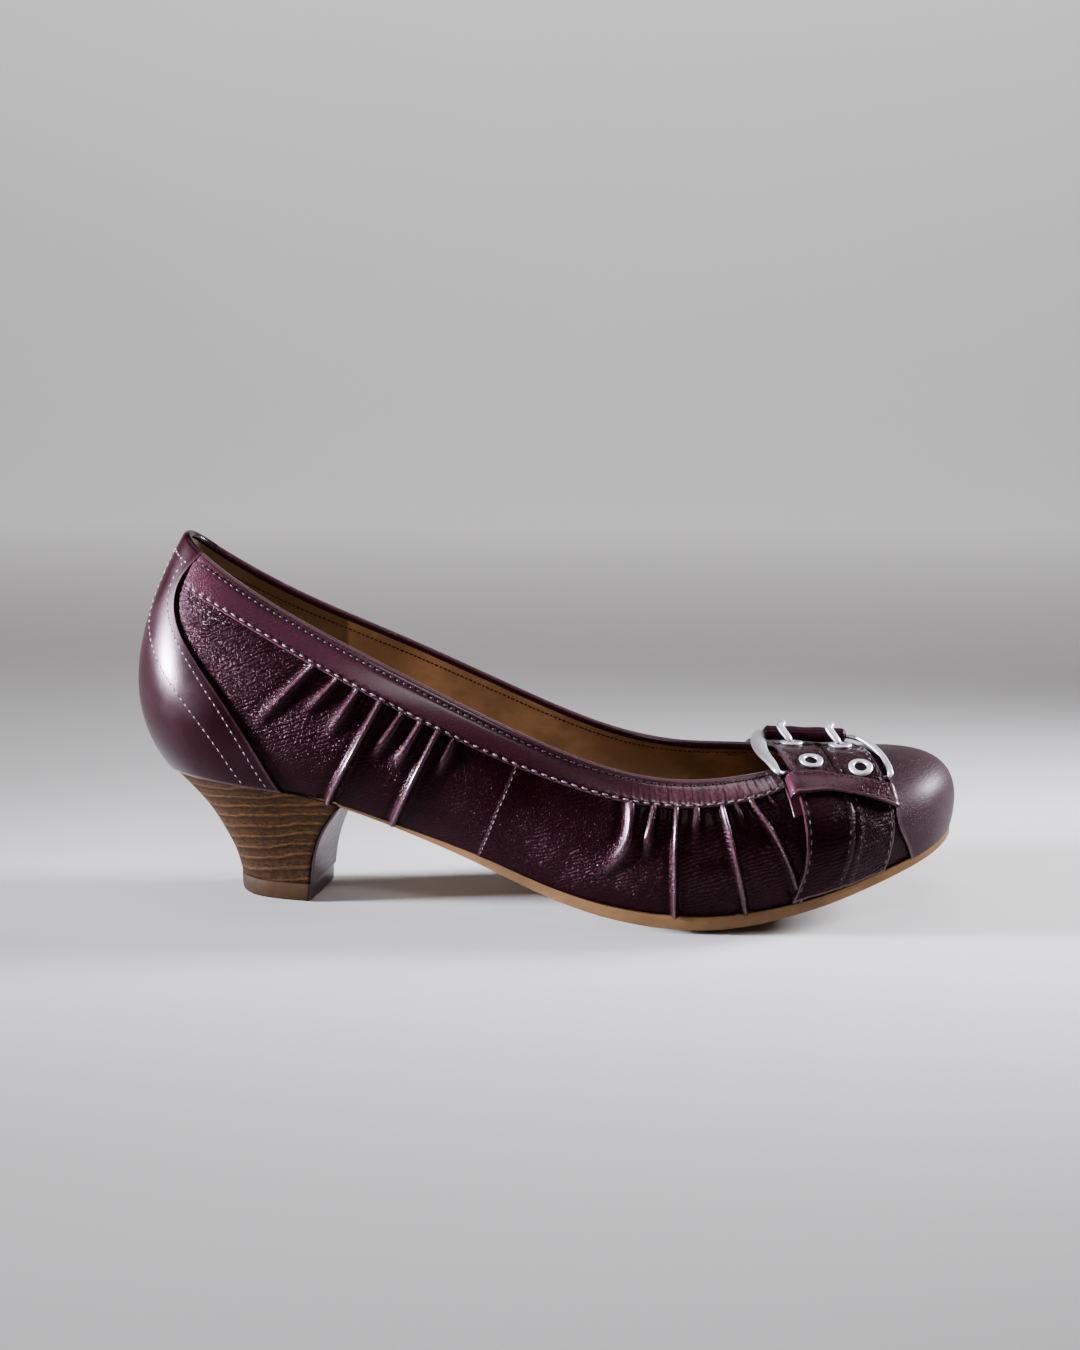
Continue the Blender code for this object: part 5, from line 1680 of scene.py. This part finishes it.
class PUMP_OT_stitching(bpy.types.Operator):
    """Rows of stitches on the counter, bands, strap, keeper and lining"""
    bl_idname = "pump.stitching"
    bl_label = "Stitching"

    def execute(self, context):
        sizes, colours = context.scene.pump_sizes, context.scene.pump_colours
        light = thread_material("plum thread", colours.thread)
        dim = thread_material("dim thread", colours.dim_thread)
        dark = thread_material("dark thread", colours.dark_thread)
        tan = thread_material("tan thread", colours.tan_thread)
        on_band = ROLL_LIFT + sizes.band / MM
        on_counter = ROLL_LIFT + sizes.counter / MM - THREAD_SINK

        for side, span in BAND_SPAN.items():
            u = np.linspace(span[0] + 0.012, span[1] - 0.004, 400)
            t = side_turn(u, side)
            low = band_low(u)
            for row, thread in (("low", light), ("top", dark)):
                v = low + (1 - low) * BAND_ROWS[row][0]
                wall_row(f"stitches_band_{row}_{side}", t, v, on_band, "band_" + row, thread,
                         "band_leather", face=-0.08)
            v = np.full_like(u, 0.945)
            wall_row("stitches_lining_" + side, t, v, WALL, "lining", dark, "lining_leather", inside=True)

        for side in BAND_SPAN:
            v = np.linspace(0.02, 0.955, 200)
            for row, line in (("edge", counter_edge(v) - 0.0125), ("back", counter_row(v))):
                wall_row(f"stitches_counter_{row}_{side}", side_turn(line, side), v, on_counter, "counter",
                         light, "plum_leather", face=THREAD_SINK)
            u = np.linspace(0.088, 0.150, 120)
            wall_row("stitches_quarter_" + side, side_turn(u, side), band_low(u) - 0.035, 0.03, "quarter",
                     dim, "plum_leather")
            v = np.linspace(0.02, 0.795, 160)
            u = np.interp(v, *np.array(SIDE_SEAM)[:, ::-1].T) + 0.35 / SIDE_RUN
            wall_row("stitches_side_" + side, side_turn(u, side), v, 0.20, "side", light, "plum_leather")
            u = np.linspace(0.690, 0.735, 60)
            wall_row("stitches_throat_" + side, side_turn(u, side), np.full_like(u, 0.90), WALL, "throat",
                     tan, "lining_leather", inside=True)
        t = np.linspace(-0.036, 0.036, 120)
        wall_row("stitches_counter_top", t, np.full_like(t, 0.955), on_counter, "counter_top", light,
                 "plum_leather", face=THREAD_SINK)

        along = np.linspace(0.02, 0.98, 260)
        for row, a in STRAP_ROWS.items():
            strip = strap_surface(np.array((a - 0.01, a, a + 0.01)), along)
            out = grid_normals(strip)[1]
            stitch_row("stitches_strap_" + row, strip[1] + out * (STRAP_THICKNESS + 0.02), out, "strap",
                       dim, "plum_leather")

        a = np.linspace(0.01, 0.99, 120)
        for row, height in KEEPER_ROWS.items():
            strip = np.stack([keeper_points(a, keeper_share(a, height + offset), 0.12)
                              for offset in (-0.05, 0.0, 0.05)], axis=1)
            out = grid_normals(strip)[:, 1]
            stitch_row("stitches_keeper_" + row, strip[:, 1] + out * (sizes.keeper / MM), out, "keeper",
                       dark, "band_leather")
        return {"FINISHED"}


class PUMP_OT_stage(bpy.types.Operator):
    """Pale floor, soft studio light and the camera"""
    bl_idname = "pump.stage"
    bl_label = "Stage"

    def execute(self, context):
        stage, colours = context.scene.pump_stage, context.scene.pump_colours
        flat = np.linspace(FLOOR_FRONT, FLOOR_FLAT, 20)
        bend = np.linspace(0.0, 1.0, 16)
        rise = np.concatenate([np.zeros(len(flat)), BACKDROP_RISE * (1 - np.sqrt(1 - bend**2))]) - FLOOR_DROP
        depth = np.concatenate([flat, FLOOR_BEND + BACKDROP_RUN * bend])
        width, depth = np.meshgrid(np.linspace(-FLOOR_HALF_WIDTH, FLOOR_HALF_WIDTH, 12), depth, indexing="ij")
        floor = sheet("floor", np.stack([width, depth, np.broadcast_to(rise, depth.shape)], -1))
        material, tree, shader, vector = new_material("floor paper", 0.85, specular=0.2)
        cloud = noise(tree, vector, 6.0, 2.0)
        feed(shader, "Base Color", mix_colours(tree, cloud, tuple(colours.floor), toned(colours.floor, 0.97)))
        floor.data.materials.append(material)
        bpy.ops.object.shade_smooth_by_angle(angle=radians(60))

        world = bpy.data.worlds.new("studio")
        world.use_nodes = True
        background = world.node_tree.nodes["Background"]
        background.inputs["Color"].default_value = WORLD_COLOUR
        background.inputs["Strength"].default_value = WORLD_STRENGTH
        context.scene.world = world
        middle = Vector(stage.target)
        for name, (where, aim, size, power, spread, tint) in LIGHTS.items():
            lamp = bpy.data.lights.new(name, "AREA")
            lamp.shape = "RECTANGLE"
            lamp.size, lamp.size_y = size
            lamp.energy = power
            lamp.color = tint
            lamp.spread = radians(spread)
            holder = bpy.data.objects.new(name, lamp)
            context.scene.collection.objects.link(holder)
            holder.location = middle + Vector(where)
            holder.rotation_euler = (Vector(aim) - Vector(where)).to_track_quat("-Z", "Y").to_euler()

        camera = bpy.data.cameras.new("camera")
        camera.lens = stage.lens
        camera.sensor_width = SENSOR_WIDTH
        holder = bpy.data.objects.new("camera", camera)
        context.scene.collection.objects.link(holder)
        a, e = stage.azimuth, stage.elevation
        back = Vector((sin(a) * cos(e), -cos(a) * cos(e), sin(e)))
        holder.location = middle + back * stage.distance
        holder.rotation_euler = (-back).to_track_quat("-Z", "Y").to_euler()
        camera.clip_start = CLIP_START
        context.scene.camera = holder
        return {"FINISHED"}


PIECES = (
    PUMP_OT_upper,
    PUMP_OT_lining,
    PUMP_OT_counter,
    PUMP_OT_toe_cap,
    PUMP_OT_collar_bands,
    PUMP_OT_strap,
    PUMP_OT_keeper,
    PUMP_OT_buckle,
    PUMP_OT_eyelets,
    PUMP_OT_sole,
    PUMP_OT_heel,
    PUMP_OT_stitching,
    PUMP_OT_stage,
)


class PUMP_PT_pieces(bpy.types.Panel):
    """Pieces of the pump"""
    bl_idname = "PUMP_PT_pieces"
    bl_label = "Low heel pump"
    bl_space_type = "VIEW_3D"
    bl_region_type = "UI"
    bl_category = "Pump"

    def draw(self, context):
        for piece in PIECES:
            self.layout.operator(piece.bl_idname)
        for group in (context.scene.pump_sizes, context.scene.pump_colours, context.scene.pump_stage):
            box = self.layout.box()
            for name in group.__annotations__:
                box.prop(group, name)


CLASSES = (PumpSizes, PumpColours, PumpStage, *PIECES, PUMP_PT_pieces)


def register():
    for cls in CLASSES:
        bpy.utils.register_class(cls)
    bpy.types.Scene.pump_sizes = bpy.props.PointerProperty(type=PumpSizes)
    bpy.types.Scene.pump_colours = bpy.props.PointerProperty(type=PumpColours)
    bpy.types.Scene.pump_stage = bpy.props.PointerProperty(type=PumpStage)


def unregister():
    del bpy.types.Scene.pump_stage
    del bpy.types.Scene.pump_colours
    del bpy.types.Scene.pump_sizes
    for cls in reversed(CLASSES):
        bpy.utils.unregister_class(cls)


def main():
    register()
    bpy.ops.pump.upper()
    bpy.ops.pump.lining()
    bpy.ops.pump.counter()
    bpy.ops.pump.toe_cap()
    bpy.ops.pump.collar_bands()
    bpy.ops.pump.strap()
    bpy.ops.pump.keeper()
    bpy.ops.pump.buckle()
    bpy.ops.pump.eyelets()
    bpy.ops.pump.sole()
    bpy.ops.pump.heel()
    bpy.ops.pump.stitching()
    bpy.ops.pump.stage()


if __name__ == "__main__":
    main()
